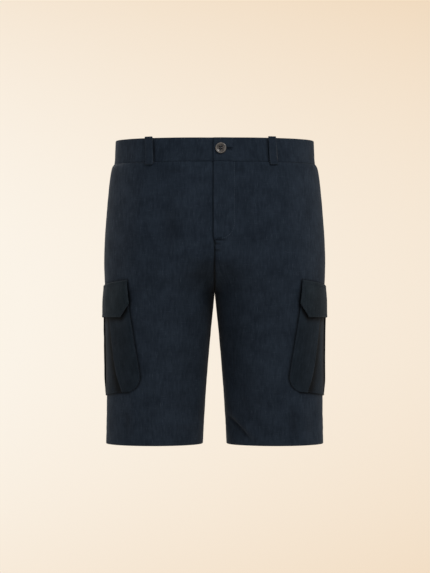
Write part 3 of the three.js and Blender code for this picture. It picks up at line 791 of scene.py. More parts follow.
@dataclass(frozen=True)
class Linen:
    """A finish of woven linen."""

    name: str
    deep: Colour
    light: Colour
    fleck: Colour
    worn: Colour = (0.026, 0.034, 0.045)
    wear: float = 0.5
    # How far the painted shade in hollows darkens the colour towards a sixth of the deep tone.
    painted_shade_share: float = 0.8
    roughness: Pair = (0.94, 0.82)
    sheen: float = 0.05
    sheen_roughness: float = 0.35
    specular: float = 0.12
    bump: float = 0.00022
    seed: float = 0.0

    def material(self, weave: LinenWeave, wear: EdgeWearAndPaintedShade) -> bpy.types.Material:
        """Build the material.

        Args:
            weave: the shared weave group.
            wear: the shared edge group.

        Returns:
            The material.
        """
        made, graph, shader = new_material(self.name)
        place = graph.node("ShaderNodeUVMap", uv_map="cloth").outputs[0]
        edge = graph.node("ShaderNodeAttribute", attribute_name="edge").outputs["Fac"]
        woven = graph.node("ShaderNodeGroup", {"Place": place, "Seed": self.seed}, node_tree=weave.tree)
        # The edge group's Mask is wear on edges; its Shade is painted shade in hollows.
        rubbed = {"Place": place, "Edge": edge, "Amount": self.wear}
        worn = graph.node("ShaderNodeGroup", rubbed, node_tree=wear.tree)
        colour = graph.blend(woven.outputs["Tone"], (*self.deep, 1), (*self.light, 1))
        colour = graph.blend(graph.math("MULTIPLY", woven.outputs["Slub"], 0.5), colour, (*self.fleck, 1))
        colour = graph.blend(worn.outputs["Mask"], colour, (*self.worn, 1))
        # Painted shade: the colour darkens towards a sixth of the deep tone where the edge attribute is below
        # 0.
        colour = graph.blend(graph.math("MULTIPLY", worn.outputs["Shade"], self.painted_shade_share), colour,
                             (*(0.16 * part for part in self.deep), 1))
        varied_roughness(graph, shader, woven.outputs["Tone"], self.roughness)
        Surface(colour, woven.outputs["Height"], self.bump, 0.7).join(graph, shader, {
            "Sheen Weight": self.sheen, "Sheen Roughness": self.sheen_roughness,
            "Specular IOR Level": self.specular,
        })
        return made


@dataclass(frozen=True)
class Horn:
    """A dark horn-like button, clouded, paler on its rim."""

    name: str = "horn_button"
    deep: Colour = (0.02, 0.016, 0.013)
    light: Colour = (0.085, 0.07, 0.06)
    rim: Colour = (0.2, 0.18, 0.16)
    roughness: Pair = (0.28, 0.42)

    def material(self) -> bpy.types.Material:
        """Build the material."""
        made, graph, shader = new_material(self.name)
        place = graph.node("ShaderNodeTexCoord").outputs["Object"]
        cloud = graph.node("ShaderNodeTexNoise", {"Vector": place, "Scale": 190.0, "Detail": 4.0,
                                                  "Distortion": 1.4}).outputs["Fac"]
        edge = graph.node("ShaderNodeAttribute", attribute_name="edge").outputs["Fac"]
        colour = graph.blend(graph.step(cloud, 0.38, 0.68), (*self.deep, 1), (*self.light, 1))
        colour = graph.blend(graph.math("MULTIPLY", edge, 0.55), colour, (*self.rim, 1))
        varied_roughness(graph, shader, cloud, self.roughness)
        Surface(colour, cloud, 0.00008, 0.4).join(graph, shader, {"Coat Weight": 0.35, "Coat Roughness": 0.2})
        return made


@dataclass(frozen=True)
class Thread:
    """Sewing thread, nylon coil or woven tape, nearly matt and finely mottled."""

    name: str
    deep: Colour
    light: Colour
    roughness: float = 0.6
    sheen: float = 0.2
    scale: float = 900.0

    def material(self) -> bpy.types.Material:
        """Build the material."""
        made, graph, shader = new_material(self.name)
        place = graph.node("ShaderNodeTexCoord").outputs["Object"]
        grain = graph.node("ShaderNodeTexNoise", {"Vector": place, "Scale": self.scale, "Detail": 2.0})
        tone = graph.step(grain.outputs["Fac"], 0.35, 0.65)
        colour = graph.blend(tone, (*self.deep, 1), (*self.light, 1))
        Surface(colour, tone, 0.0001, 0.5).join(graph, shader, {
            "Roughness": self.roughness, "Sheen Weight": self.sheen, "Specular IOR Level": 0.15,
        })
        return made


@dataclass(frozen=True)
class Surface:
    """What a finish hands to its Principled shader besides constants."""

    colour: bpy.types.NodeSocket
    height: bpy.types.NodeSocket
    bump: float
    strength: float

    def join(self, graph: Graph, shader: bpy.types.Node, constants: dict[str, float]) -> None:
        """Join the colour and the bump to the shader and set its constants."""
        inputs = {"Height": self.height, "Distance": self.bump, "Strength": self.strength}
        graph.tree.links.new(self.colour, shader.inputs["Base Color"])
        graph.tree.links.new(graph.node("ShaderNodeBump", inputs).outputs[0], shader.inputs["Normal"])
        for name, value in constants.items():
            shader.inputs[name].default_value = value


def varied_roughness(graph: Graph, shader: bpy.types.Node, value: bpy.types.NodeSocket, ends: Pair) -> None:
    """Let the roughness follow a value, from the first of two ends to the second."""
    inputs = {"Value": value, "To Min": ends[0], "To Max": ends[1]}
    graph.tree.links.new(graph.node("ShaderNodeMapRange", inputs).outputs[0], shader.inputs["Roughness"])


def new_material(name: str) -> tuple[bpy.types.Material, Graph, bpy.types.Node]:
    """A material with its graph and its Principled shader."""
    made = bpy.data.materials.new(name)
    made.use_nodes = True
    return made, Graph(made.node_tree), made.node_tree.nodes["Principled BSDF"]


class Wardrobe:
    """Holds the finishes as materials, each built once."""

    def __init__(self) -> None:
        """Build every material."""
        weave, wear = LinenWeave(), EdgeWearAndPaintedShade()
        navy = (0.0078, 0.0128, 0.021), (0.0172, 0.0265, 0.041), (0.042, 0.058, 0.08)
        panel, band = Linen("linen_panel", *navy), Linen("linen_band", *navy, seed=4.1)
        # The pocket's painted shade in its hollows is stronger than the other cloths'.
        pocket = Linen("linen_pocket", (0.0049, 0.0087, 0.0132), (0.0102, 0.0168, 0.0252),
                       (0.021, 0.032, 0.044), painted_shade_share=0.95, seed=9.2)
        trim = Linen("linen_trim", (0.0052, 0.0093, 0.0128), (0.0112, 0.0185, 0.0250),
                     (0.024, 0.034, 0.043), wear=0.4, seed=15.4)
        self.panel, self.band = panel.material(weave, wear), band.material(weave, wear)
        self.pocket, self.trim = pocket.material(weave, wear), trim.material(weave, wear)
        self.horn = Horn().material()
        self.thread, self.pale_thread, self.tape, self.nylon = (strand.material() for strand in (
            Thread("sewing_thread", (0.006, 0.011, 0.019), (0.016, 0.026, 0.042), 0.8, 0.0),
            Thread("fly_thread", (0.016, 0.026, 0.04), (0.043, 0.059, 0.082), 0.8, 0.0),
            Thread("zip_tape", (0.01, 0.014, 0.022), (0.022, 0.028, 0.04), 0.85, 0.3, 1600),
            Thread("zip_coil", (0.012, 0.015, 0.022), (0.03, 0.036, 0.046), 0.4, 0.0),
        ))


# Sewing


@dataclass
class Seam:
    """A run of stitches: its points and the way out of the cloth at each, in millimetres."""

    points: Array
    outward: Array


class Stitcher:
    """Sews runs of stitches with one Geometry Nodes tree."""

    def __init__(self) -> None:
        """Build the tree: a bead of thread at each step along the runs, turned with the cloth."""
        tree = bpy.data.node_groups.new("stitches", "GeometryNodeTree")
        self.tree = tree
        sockets = {"Geometry": "Geometry", "Stitch Length": "Float", "Spacing": "Float", "Width": "Float",
                   "Rise": "Float", "Seed": "Int", "Thread": "Material"}
        new_socket = tree.interface.new_socket
        self.ids = {
            name: new_socket(name=name, in_out="INPUT", socket_type=f"NodeSocket{kind}").identifier
            for name, kind in sockets.items()
        }
        new_socket(name="Geometry", in_out="OUTPUT", socket_type="NodeSocketGeometry")
        graph = Graph(tree)
        given = graph.node("NodeGroupInput").outputs
        curve = graph.node("GeometryNodeMeshToCurve", {0: given["Geometry"]}).outputs[0]
        steps = graph.node("GeometryNodeResampleCurve", {"Curve": curve, "Length": given["Spacing"]},
                           mode="LENGTH").outputs[0]
        outward = graph.node("GeometryNodeInputNamedAttribute", {"Name": "outward"}, data_type="FLOAT_VECTOR")
        tangent = graph.node("GeometryNodeInputTangent").outputs[0]
        turned = graph.node("FunctionNodeAxesToRotation", {0: tangent, 1: outward.outputs[0]},
                            primary_axis="X", secondary_axis="Z").outputs[0]
        varied = graph.node("FunctionNodeRandomValue", {2: 0.88, 3: 1.1, "Seed": given["Seed"]},
                            data_type="FLOAT").outputs[1]
        half = graph.math("MULTIPLY", graph.math("MULTIPLY", given["Stitch Length"], varied), 0.5)
        size = graph.vector(half, graph.math("MULTIPLY", given["Width"], 0.5), given["Rise"])
        bead = graph.node("GeometryNodeMeshUVSphere", {"Segments": 6, "Rings": 5, "Radius": 1.0}).outputs[0]
        placed = graph.node("GeometryNodeInstanceOnPoints", {"Points": steps, "Instance": bead,
                                                             "Rotation": turned, "Scale": size}).outputs[0]
        real = graph.node("GeometryNodeRealizeInstances", {0: placed}).outputs[0]
        smooth = graph.node("GeometryNodeSetShadeSmooth", {0: real}).outputs[0]
        dressed = graph.node("GeometryNodeSetMaterial", {"Geometry": smooth, "Material": given["Thread"]})
        graph.node("NodeGroupOutput", {0: dressed.outputs[0]})

    def sew(self, name: str, seams: list[Seam], thread: bpy.types.Material, length: float = 2.6,
            spacing: float = 3.3, width: float = 0.75, rise: float = 0.24, seed: int = 1,
            side: Side = LEFT) -> bpy.types.Object:
        """Make a piece of stitches.

        Args:
            name: the piece's name.
            seams: the runs to sew.
            thread: the thread's material.
            length: length of a stitch.
            spacing: distance from one stitch to the next.
            width: width of a stitch.
            rise: half its thickness.
            seed: picks the small differences in length.
            side: RIGHT mirrors the runs.

        Returns:
            The piece, as a plain mesh.
        """
        points = np.concatenate([seam.points for seam in seams]) * (side, 1, 1) * MM
        outward = np.concatenate([seam.outward for seam in seams]) * (side, 1, 1)
        edges, first = [], 0
        for seam in seams:
            count = len(seam.points)
            edges += [(first + k, first + k + 1) for k in range(count - 1)]
            first += count
        mesh = bpy.data.meshes.new(name)
        mesh.from_pydata(points.tolist(), edges, [])
        held = mesh.attributes.new("outward", "FLOAT_VECTOR", "POINT")
        held.data.foreach_set("vector", outward.astype(np.float32).ravel())
        piece = in_scene(name, mesh)
        modifier = piece.modifiers.new("stitches", "NODES")
        modifier.node_group = self.tree
        values = {"Stitch Length": length * MM, "Spacing": spacing * MM, "Width": width * MM,
                  "Rise": rise * MM, "Seed": seed, "Thread": thread}
        for key, value in values.items():
            modifier[self.ids[key]] = value
        made_plain(piece)
        return piece


# The garment


@dataclass
class Tailor:
    """What every sub-assembly is made with, and how its pieces are handed over."""

    form: Form
    wardrobe: Wardrobe
    stitcher: Stitcher

    def dress(self, piece: bpy.types.Object, material: bpy.types.Material | None, slot: str,
              node: str | None = None) -> bpy.types.Object:
        """Give a piece its material and its body.

        Args:
            piece: the piece.
            material: its material, or none where it already has one.
            slot: not used.
            node: the CAD node that it stands for.

        Returns:
            The piece.
        """
        if material is not None:
            piece.data.materials.clear()
            piece.data.materials.append(material)
        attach(piece, "root")
        if node:
            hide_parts(node)
        log.info("%s: %d faces", piece.name, len(piece.data.polygons))
        return piece

    def sewn(self, name: str, seams: list[Seam], thread: bpy.types.Material, slot: str = "linen",
             **sizes: float) -> bpy.types.Object:
        """Sew a piece of stitches and hand it over.

        Args:
            name: the piece's name.
            seams: the runs to sew.
            thread: the thread's material.
            slot: the record's material slot.
            sizes: the stitches' sizes, seed and side, as for Stitcher.sew.

        Returns:
            The piece.
        """
        return self.dress(self.stitcher.sew(name, seams, thread, **sizes), None, slot)


@dataclass
class Panel:
    """A front or back panel, from the waistband to the hem."""

    tailor: Tailor
    side: Side
    face: Face
    column_step: float = 2.6
    row_step: float = 2.7
    fine_columns: float = 40.0
    fine_rows: Pair = (158.0, 192.0)
    fine_step: float = 0.9
    rim: float = 0.6
    hem_turn_up: float = 37.0
    hem_cloth: float = 2.6
    seam_roll: float = 0.55
    seam_roll_width: float = 1.7
    centre_roll: float = 1.5
    fly_valley: float = 0.9
    pucker: float = 0.22
    allowance: float = 0.8
    allowance_width: float = 12.0

    def build(self, name: str) -> bpy.types.Object:
        """Make the panel, dressed.

        Args:
            name: the CAD node that it stands for.

        Returns:
            The panel.
        """
        form, side, face = self.tailor.form, self.side, self.face
        edge_turn, fold, top = self.rim / form.turn_length, form.outseam - self.hem_turn_up, form.band_height
        turns = [spaced(edge_turn, 1 - edge_turn, self.column_step / form.turn_length)]
        rows = [spaced(top + self.rim, fold - 1.4, self.row_step)]
        if face == FRONT:
            near_fly, fly_foot = 1 - self.fine_columns / form.turn_length, self.fine_rows
            turns = [spaced(edge_turn, near_fly, self.column_step / form.turn_length),
                     spaced(near_fly, 1 - edge_turn, self.fine_step * 1.5 / form.turn_length)[1:]]
            rows = [spaced(top + self.rim, fly_foot[0], self.row_step), spaced(*fly_foot, self.fine_step)[1:],
                    spaced(fly_foot[1], fold - 1.4, self.row_step)[1:]]
        turns = face * np.concatenate([[0], *turns, [1]])
        drops = np.concatenate([[top], *rows, [fold - 0.5, fold],
                                spaced(fold + 1.6, form.outseam - self.rim, self.row_step), [form.outseam]])
        turn, drop = np.meshgrid(turns, drops)
        x, _ = form.plan(side, turn, drop)
        run = form.run(side, turn, drop)
        whole = form.run(side, np.full_like(turn, face), drop)
        from_side, from_inner = np.abs(run), np.abs(whole - run)
        sewn_inner = 1.0 if face == BACK else ease(drop, form.fly_bottom, form.fly_bottom + 6)
        seams = near(from_side, self.seam_roll_width) + sewn_inner * near(from_inner, self.seam_roll_width)
        seams = clamped(seams + near(drop - top, self.seam_roll_width))
        beside = near(from_side, 9) + sewn_inner * near(from_inner, 9) + near(drop - top, 7)
        ruffle = unevenness(drop + 0.35 * run, 0.12 * run, 7.5, 21)
        ruffle = ruffle * (near(from_side, 9) + near(from_inner, 9))
        ruffle = ruffle + unevenness(run, drop * 0.2, 9, 34) * near(drop - top, 7)
        height = form.drape(side, turn, drop) * (1 - 0.5 * clamped(beside))
        joined = 1 - ease(drop, form.crotch_drop - 2, form.crotch_drop + 8)
        centre = sewn_inner * joined * near(from_inner, 2.6)
        height = height - self.seam_roll * seams - self.centre_roll * centre + self.pucker * ruffle
        height = height + self.hem_relief(run, drop)
        if face == FRONT:
            height = height + form.lap(side, x, drop) + self.fly_groove(x, drop)
            open_fly = 1 - ease(drop, form.fly_bottom - 4, form.fly_bottom + 4)
            if side == LEFT:
                height = height + 0.4 * near(from_inner - 1.5, 2) * open_fly
            else:
                height = height - self.fly_valley * near(x - 3.2, 2.6) * open_fly
        thickness = np.where(drop < fold, form.cloth, self.hem_cloth)
        hidden = ease(clamped(self.allowance_width + 1.5 - from_side, 0, 3), 0, 3)
        hidden = np.maximum(hidden, sewn_inner * ease(self.allowance_width + 1.5 - from_inner, 0, 3))
        inside = thickness + self.allowance * hidden
        grids = []
        for depth in (0.0, inside):
            points = form.raised(side, turn, drop, height - depth)
            sewn = (drops > form.fly_bottom + form.fly_blend) | (face == BACK)
            points[sewn, :, 0] = np.maximum(points[sewn, :, 0], 0)
            parted = drops >= form.crotch_drop
            points[sewn & ~parted, -1, 0] = 0
            grids.append(points)
        uv = np.stack([run - self.grain_shift(drops)[:, None] + 400 * side + 900 * face, drop], axis=-1)
        # Wear pales the hem's edge; painted shade darkens the seams, the fly's edge and round the pocket and
        # flap.
        worn = 0.5 * near(form.outseam - drop, 2.2) - self.painted_hollow_shade(x, run, drop, from_inner)
        # Painted shade in the troughs of the small creases.
        worn = worn - 0.5 * clamped(-form.creased(side, turn, drop, x) / 1.3)
        piece = closed_sheet(name + "_linen", grids[0], grids[1], uv, side, worn)
        return self.tailor.dress(piece, self.tailor.wardrobe.panel, "linen", name)

    def grain_shift(self, drops: Array) -> Array:
        """How far each row is moved across the cloth, so that its grain hangs down the leg's crest."""
        form = self.tailor.form
        crest = form.sized(Column.CREST, drops) * form.sized(Column.HALF_WIDTH, drops)
        crest = crest + form.leg_gap(drops) / 2
        turn = form.turn_at_x(self.side, self.face, drops, crest)
        return form.run(self.side, turn, drops) - self.face * crest

    def painted_hollow_shade(self, x: Array, run: Array, drop: Array, from_inner: Array) -> Array:
        """Painted shade where the cloth lies in a hollow: along the seams, beside the fly and round the
        pocket.

        Args:
            x: distances from the middle.
            run: how far the cloth has run forward of the side seam.
            drop: drops below the waist's top edge.
            from_inner: distances to the inner edge.

        Returns:
            The share of painted shade from all the hollows, from 0 to 1.
        """
        form = self.tailor.form
        inner_seam = ease(drop, form.fly_bottom, form.fly_bottom + 4) if self.face == FRONT else 1.0
        # Painted shade along the side seam, under the waistband, along the inner seam and beside the fly.
        shade = 0.5 * near(run, 0.9) + 0.15 * near(drop - form.band_height, 0.9)
        shade = shade + inner_seam * 0.9 * near(from_inner, 1.3)
        if self.face == FRONT and self.side == RIGHT:
            shade = shade + near(x - 2.2, 1.1) * (1 - inner_seam)
        # Painted shade round the pocket's sides and foot, beside and under the flap, and above it.
        pocket = CargoPocket(self.tailor, self.side)
        across = run - pocket.centre - pocket.lean * (drop - pocket.flap_top)
        along = drop + pocket.slope * across
        beside = np.abs(across) - pocket.half_at(np.minimum(along, pocket.bottom - 0.01))
        level = (along > pocket.mouth) * (along < pocket.bottom)
        shade = shade + 0.9 * near(clamped(beside - 0.6, 0, FAR), 2.6) * level
        low = near(clamped(along - pocket.bottom - 0.4, 0, FAR), 2.8)
        low = low * (np.abs(across) < pocket.half_width - pocket.corner + 4) * (along > pocket.bottom - 4)
        below, past = pocket.below_flap(across, along), np.abs(across) - pocket.flap_half_width
        flap = near(clamped(past, 0, FAR), 3) * (along > pocket.flap_top) * (below < 1)
        flap = np.maximum(flap, near(clamped(below, 0, FAR), 4) * (past < 1) * (along > pocket.flap_top))
        above = near(clamped(pocket.flap_top - along, 0, FAR), 2.6) * (past < 1) * (along < pocket.mouth)
        return clamped(shade + 0.9 * low + 0.8 * flap + 0.6 * above)

    def hem_relief(self, run: Array, drop: Array) -> Array:
        """The faint step where the blind hem's turned-up edge lies behind the cloth, and its ripple."""
        edge = self.tailor.form.outseam - self.hem_turn_up
        ripple = unevenness(run, drop * 0.15, 17, 55)
        step = 0.22 * near(drop - edge - 1.5, 3.2) + 0.2 * ripple * near(drop - edge, 9)
        return step + 0.12 * ease(drop, edge, edge + 4)

    def fly_groove(self, x: Array, drop: Array) -> Array:
        """The groove and the small puckers that the fly's stitching pulls into the left front."""
        if self.side < 0:
            return np.zeros_like(x)
        path = fly_path(self.tailor.form)
        away = np.full(x.shape, 1e3)
        for start, end in zip(path[:-1], path[1:]):
            along = end - start
            dx, dd = x - start[0], drop - start[1]
            share = line_share(dx, dd, along)
            away = np.minimum(away, np.hypot(dx - share * along[0], dd - share * along[1]))
        pulled = 0.16 * unevenness(drop + 0.4 * x, x * 0.3, 6.5, 71) * near(away, 6)
        return pulled - 0.34 * near(away, 1.5)


def fly_path(form: Form) -> Array:
    """The fly's J-shaped line of stitches, as distances from the middle and drops."""
    straight_x, end_x, bend, bend_depth = 32.2, 9, 139, 25.5
    straight = np.array([(straight_x, d) for d in spaced(form.band_height + 2, bend, 6)])
    angles = np.linspace(0, math.pi / 2, 12)[1:]
    across, down = end_x + (straight_x - end_x) * np.cos(angles), bend + bend_depth * np.sin(angles)
    return np.concatenate([straight, np.stack([across, down], axis=-1)])


@dataclass
class Fly:
    """The fly's stitching, the strip behind it and the closed zip."""

    tailor: Tailor
    bar_tack: Pair = (-1.2, 12.0)
    bar_drops: Pair = (163.6, 165.9)
    shield_x: Pair = (-14.0, 34.0)
    shield_below: float = 13.0
    shield_corner: float = 22.0
    shield_cloth: float = 1.2
    zip_top: float = 46.0
    zip_end: float = 159.0
    tape_x: Pair = (8.6, 17.0)
    tape_cloth: float = 0.8
    chain_x: Pair = (9.7, 12.9)
    slider: Pair = (46.0, 55.0)
    slider_x: float = 9.4
    slider_width: float = 3.8

    def build(self) -> list[bpy.types.Object]:
        """Make the fly's pieces.

        Returns:
            The stitching, the strip and the zip's pieces.
        """
        return [self.stitching(), self.bar(), self.shield(), self.zip()]

    def seam(self, path: Array, lift: float = 0.0) -> Seam:
        """A run of stitches on the left front.

        Args:
            path: distances from the middle and drops.
            lift: height over the cloth.

        Returns:
            The run.
        """
        form = self.tailor.form
        x, drop = path[:, 0], path[:, 1]
        turn = form.turn_at_x(LEFT, FRONT, drop, np.maximum(x, form.front_edge(LEFT, drop) + 0.3))
        height = form.lap(LEFT, x, drop) + form.drape(LEFT, turn, drop) + lift
        return Seam(form.raised(LEFT, turn, drop, height), form.outward(LEFT, turn, drop))

    def stitching(self) -> bpy.types.Object:
        """The J-shaped line of stitches."""
        seam = self.seam(fly_path(self.tailor.form), -0.16)
        return self.tailor.sewn("fly_stitching", [seam], self.tailor.wardrobe.pale_thread, length=2.7,
                                spacing=3.3, width=0.95, rise=0.3, seed=5)

    def bar(self) -> bpy.types.Object:
        """The bar tack at the foot of the fly: close stitches across a short line."""
        top, low = self.bar_drops
        rows = [self.seam(np.array([(x, top), (x + 0.2, low)]), 0.12) for x in spaced(*self.bar_tack, 0.62)]
        return self.tailor.sewn("fly_bar_tack", rows, self.tailor.wardrobe.thread, length=1.6, spacing=1.2,
                                width=0.6, rise=0.3, seed=6)

    def shield(self) -> bpy.types.Object:
        """The strip behind the fly, with its edge bound."""
        form = self.tailor.form
        top, bottom = form.band_height + form.seam_half, form.fly_bottom + self.shield_below
        straight = bottom - self.shield_corner
        drops = np.concatenate([spaced(top, straight, 4),
                                straight + self.shield_corner * np.sin(np.linspace(0, math.pi / 2, 12)[1:])])
        past = np.maximum(0, drops - straight)
        round_off = np.sqrt(np.maximum(0, self.shield_corner**2 - past**2))
        reach = self.shield_x[1] - self.shield_corner + round_off
        share = np.linspace(0, 1, 22)[None, :]
        x = self.shield_x[0] + (reach[:, None] - self.shield_x[0]) * share
        drop = np.broadcast_to(drops[:, None], x.shape)
        outside = -form.cloth - 2 * form.seam_half
        ripple = 0.05 * unevenness(x, drop, 12, 44)
        bound = 0.12 * near((1 - share) * (reach[:, None] - self.shield_x[0]) - 3, 2.4)
        outer = form.flat_front(x, drop, outside - 0.06 + ripple)
        inner = form.flat_front(x, drop, outside - self.shield_cloth - bound + ripple)
        piece = closed_sheet("fly_shield_linen", outer, inner, np.stack([x, drop], -1), LEFT)
        return self.tailor.dress(piece, self.tailor.wardrobe.trim, "linen", "fly_shield")

    def zip(self) -> bpy.types.Object:
        """The closed zip: its tape, two rows of coil and the slider."""
        form, wardrobe = self.tailor.form, self.tailor.wardrobe
        drops, columns = spaced(self.zip_top, self.zip_end, 1.6), spaced(*self.tape_x, 0.55)
        x, drop = np.meshgrid(columns, drops)
        ribs = 0.05 * np.sin(drop * 4.0)
        outer = form.flat_front(x, drop, -form.cloth + self.tape_cloth - 0.1 + ribs)
        inner = form.flat_front(x, drop, -form.cloth + 0.03 + 0 * x)
        tape = closed_sheet("fly_zip_tape", outer, inner, np.stack([x, drop], -1), LEFT)
        self.tailor.dress(tape, wardrobe.tape, "zip", "fly_zip")
        rows = []
        for at in self.chain_x:
            line = spaced(self.slider[1] + 0.5, self.zip_end - 2, 3)
            points = form.flat_front(np.full(len(line), at), line, -form.cloth + self.tape_cloth)
            rows.append(Seam(points, np.tile((0.0, -1.0, 0.0), (len(line), 1))))
        self.tailor.sewn("fly_zip_coil", rows, wardrobe.nylon, "zip", length=0.8, spacing=1.15, width=2.6,
                         rise=0.34, seed=9)
        low, high = self.slider
        drop, across = np.meshgrid(spaced(low + 0.4, high, 0.7), spaced(*self.chain_x, 0.4), indexing="ij")
        bulge = 0.34 * np.sin(np.pi * clamped((across - self.slider_x) / self.slider_width)) ** 0.5
        outer = form.flat_front(across, drop, -form.cloth + self.tape_cloth + 0.2 + bulge)
        inner = form.flat_front(across, drop, -form.cloth + self.tape_cloth + 0.0 * across)
        slider = closed_sheet("fly_zip_slider", outer, inner, np.stack([across, drop], -1), LEFT)
        self.tailor.dress(slider, wardrobe.nylon, "zip")
        return tape


@dataclass
class Waistband:
    """Half of the waistband: a flat tube of cloth with a rounded top edge."""

    tailor: Tailor
    side: Side
    column_step: float = 2.6
    cloth: float = 2.6
    edge: float = 2.0
    under_rise_x: float = 24.0
    buttonhole: Pair = (20.0, 1.8)

    def height(self, turn: Array, x: Array) -> Array:
        """How far the band stands off the form, at its lap over or under the other one."""
        form = self.tailor.form
        if self.side > 0:
            lifted = form.lap(LEFT, x, np.zeros_like(x))
        else:
            under = form.lap(LEFT, -x, np.zeros_like(x)) - self.cloth - 2 * form.seam_half
            lifted = under * (1 - ease(x, -form.fly_edge_x + 0.3, self.under_rise_x))
        return np.where(turn > 0, 0.0, lifted)

    def section(self) -> tuple[Array, Array]:
        """The section's points: their depth below the outer face and their drop."""
        low = self.tailor.form.band_height
        face = np.concatenate([[low, low - 0.6], spaced(low - 1.8, self.edge + 0.8, 2.6)])
        angles = np.linspace(0, math.pi, 9)
        half = self.cloth / 2
        top_depth, top_drop = half - half * np.cos(angles), self.edge - self.edge * np.sin(angles)
        inner = spaced(self.edge + 2, low - 3, 4)
        allowance = np.array([low - 0.4, low])
        depth = np.concatenate([[self.cloth * 0.3], np.zeros(len(face) - 1), top_depth,
                                np.full(len(inner), self.cloth), [self.cloth, self.cloth * 0.7]])
        drop = np.concatenate([face, top_drop, inner, allowance])
        return depth, drop

    def build(self, name: str) -> bpy.types.Object:
        """Make the band's half, with its buttonhole on the left.

        Args:
            name: the CAD node that it stands for.

        Returns:
            The band's half.
        """
        form, side = self.tailor.form, self.side
        step, rim = self.column_step / form.turn_length, 0.5 / form.turn_length
        turns = np.concatenate([[-1, -1 + rim], spaced(-1 + step / 2, 1 - step / 2, step), [1 - rim, 1]])
        depth, drops = self.section()
        turn, drop = np.broadcast_arrays(turns[:, None], drops[None, :])
        deep = np.broadcast_to(depth[None, :], turn.shape)
        middle_x, _ = form.plan(side, turn, np.full_like(turn, form.band_height / 2))
        run = form.run(side, turn, drop)
        low = form.band_height - form.seam_half
        outside = ease(self.cloth - deep, 0.2 * self.cloth, 0.9 * self.cloth)
        relief = form.drape(side, turn, drop) + 0.2 * unevenness(run, drop * 0.6, 22, 91)
        relief = relief - 0.5 * near(low - drop, 1.6) * outside
        relief = relief + 0.16 * unevenness(run, drop * 0.2, 8, 92) * near(low - drop, 6) * outside
        end = np.minimum(np.arange(len(turns)), np.arange(len(turns))[::-1])[:, None] == 0
        pinch = np.where(end, 0.3 * (deep - self.cloth / 2), 0.0)
        points = form.raised(side, turn, drop, self.height(turn, middle_x) - deep + relief + pinch)
        points[-1, :, 0] = 0
        points[..., 0] = np.where(turn > 0, np.maximum(points[..., 0], 0), points[..., 0])
        uv = np.stack([run + 1700 * side, drop + 2 * deep], axis=-1)
        worn = 0.6 * near(drop, 2.4) + 0.2 * near(low - drop, 2)
        # Painted shade on the band beside each belt loop, stronger on its side towards the middle.
        for loop in belt_loops(self.tailor):
            away = middle_x - abs(loop.x) - loop.slant * drop
            shade = near(away + loop.width / 2 + 0.9, 1.1) + 0.6 * near(away - loop.width / 2 - 0.7, 0.9)
            worn = worn - shade * outside * ((loop.side == side) & (turn * loop.face > 0))
        piece = tube(name + "_linen", points, uv, side, worn)
        if side > 0:
            cut_from(piece, self.cutter())
        return self.tailor.dress(piece, self.tailor.wardrobe.band, "linen", name)

    def cutter(self) -> bpy.types.Object:
        """A bar with the buttonhole's outline, through the band."""
        place, out, across, down = button_place(self.tailor.form)
        length, width = self.buttonhole
        rings = []
        for depth in (-7.0, 7.0):
            ring = []
            for angle in np.linspace(0, 2 * math.pi, 24, endpoint=False):
                reach = (length - width) / 2 if math.cos(angle) > 0 else -(length - width) / 2
                u = length / 2 - width / 2 + reach + width / 2 * math.cos(angle)
                ring.append(place + across * u + down * (width / 2 * math.sin(angle)) + out * depth)
            rings.append(ring)
        rings = np.array(rings)
        return tube("buttonhole_cutter", rings, np.zeros((2, 24, 2)))

    def stitching(self) -> bpy.types.Object:
        """The satin stitches round the buttonhole."""
        place, out, across, down = button_place(self.tailor.form)
        length, width = self.buttonhole
        seams = []
        for angle in np.linspace(0, 2 * math.pi, 96, endpoint=False):
            square = np.sign(math.cos(angle)) * min(1, abs(math.cos(angle)) * 1.25)
            u = length / 2 - width / 2 + (length / 2 - width / 2) * square
            w = width / 2 * (1 if math.sin(angle) > 0 else -1) * min(1, abs(math.sin(angle)) * 4)
            centre = place + across * u + down * w
            way = across * (0.25 * math.cos(angle)) + down * np.sign(w or 1)
            ends = np.array([centre + way * s for s in (-0.1, 1.1)]) + out * 0.08
            seams.append(Seam(ends, np.tile(out, (2, 1))))
        return self.tailor.sewn("buttonhole_stitching", seams, self.tailor.wardrobe.thread, length=1.4,
                                spacing=1.3, width=0.45, rise=0.2, seed=12)


def button_place(form: Form) -> tuple[Array, Array, Array, Array]:
    """The button's seat on the left waistband, the way out of the cloth, the way across and the way down."""
    x, drop = np.array([10.0]), np.array([17.6])
    place = form.flat_front(x, drop, form.lap_lift)[0]
    out = normalised(form.flat_front(x, drop, form.lap_lift + 1)[0] - place)
    across = np.array([1.0, 0.0, 0.0])
    return place, out, across, normalised(np.cross(across, out))


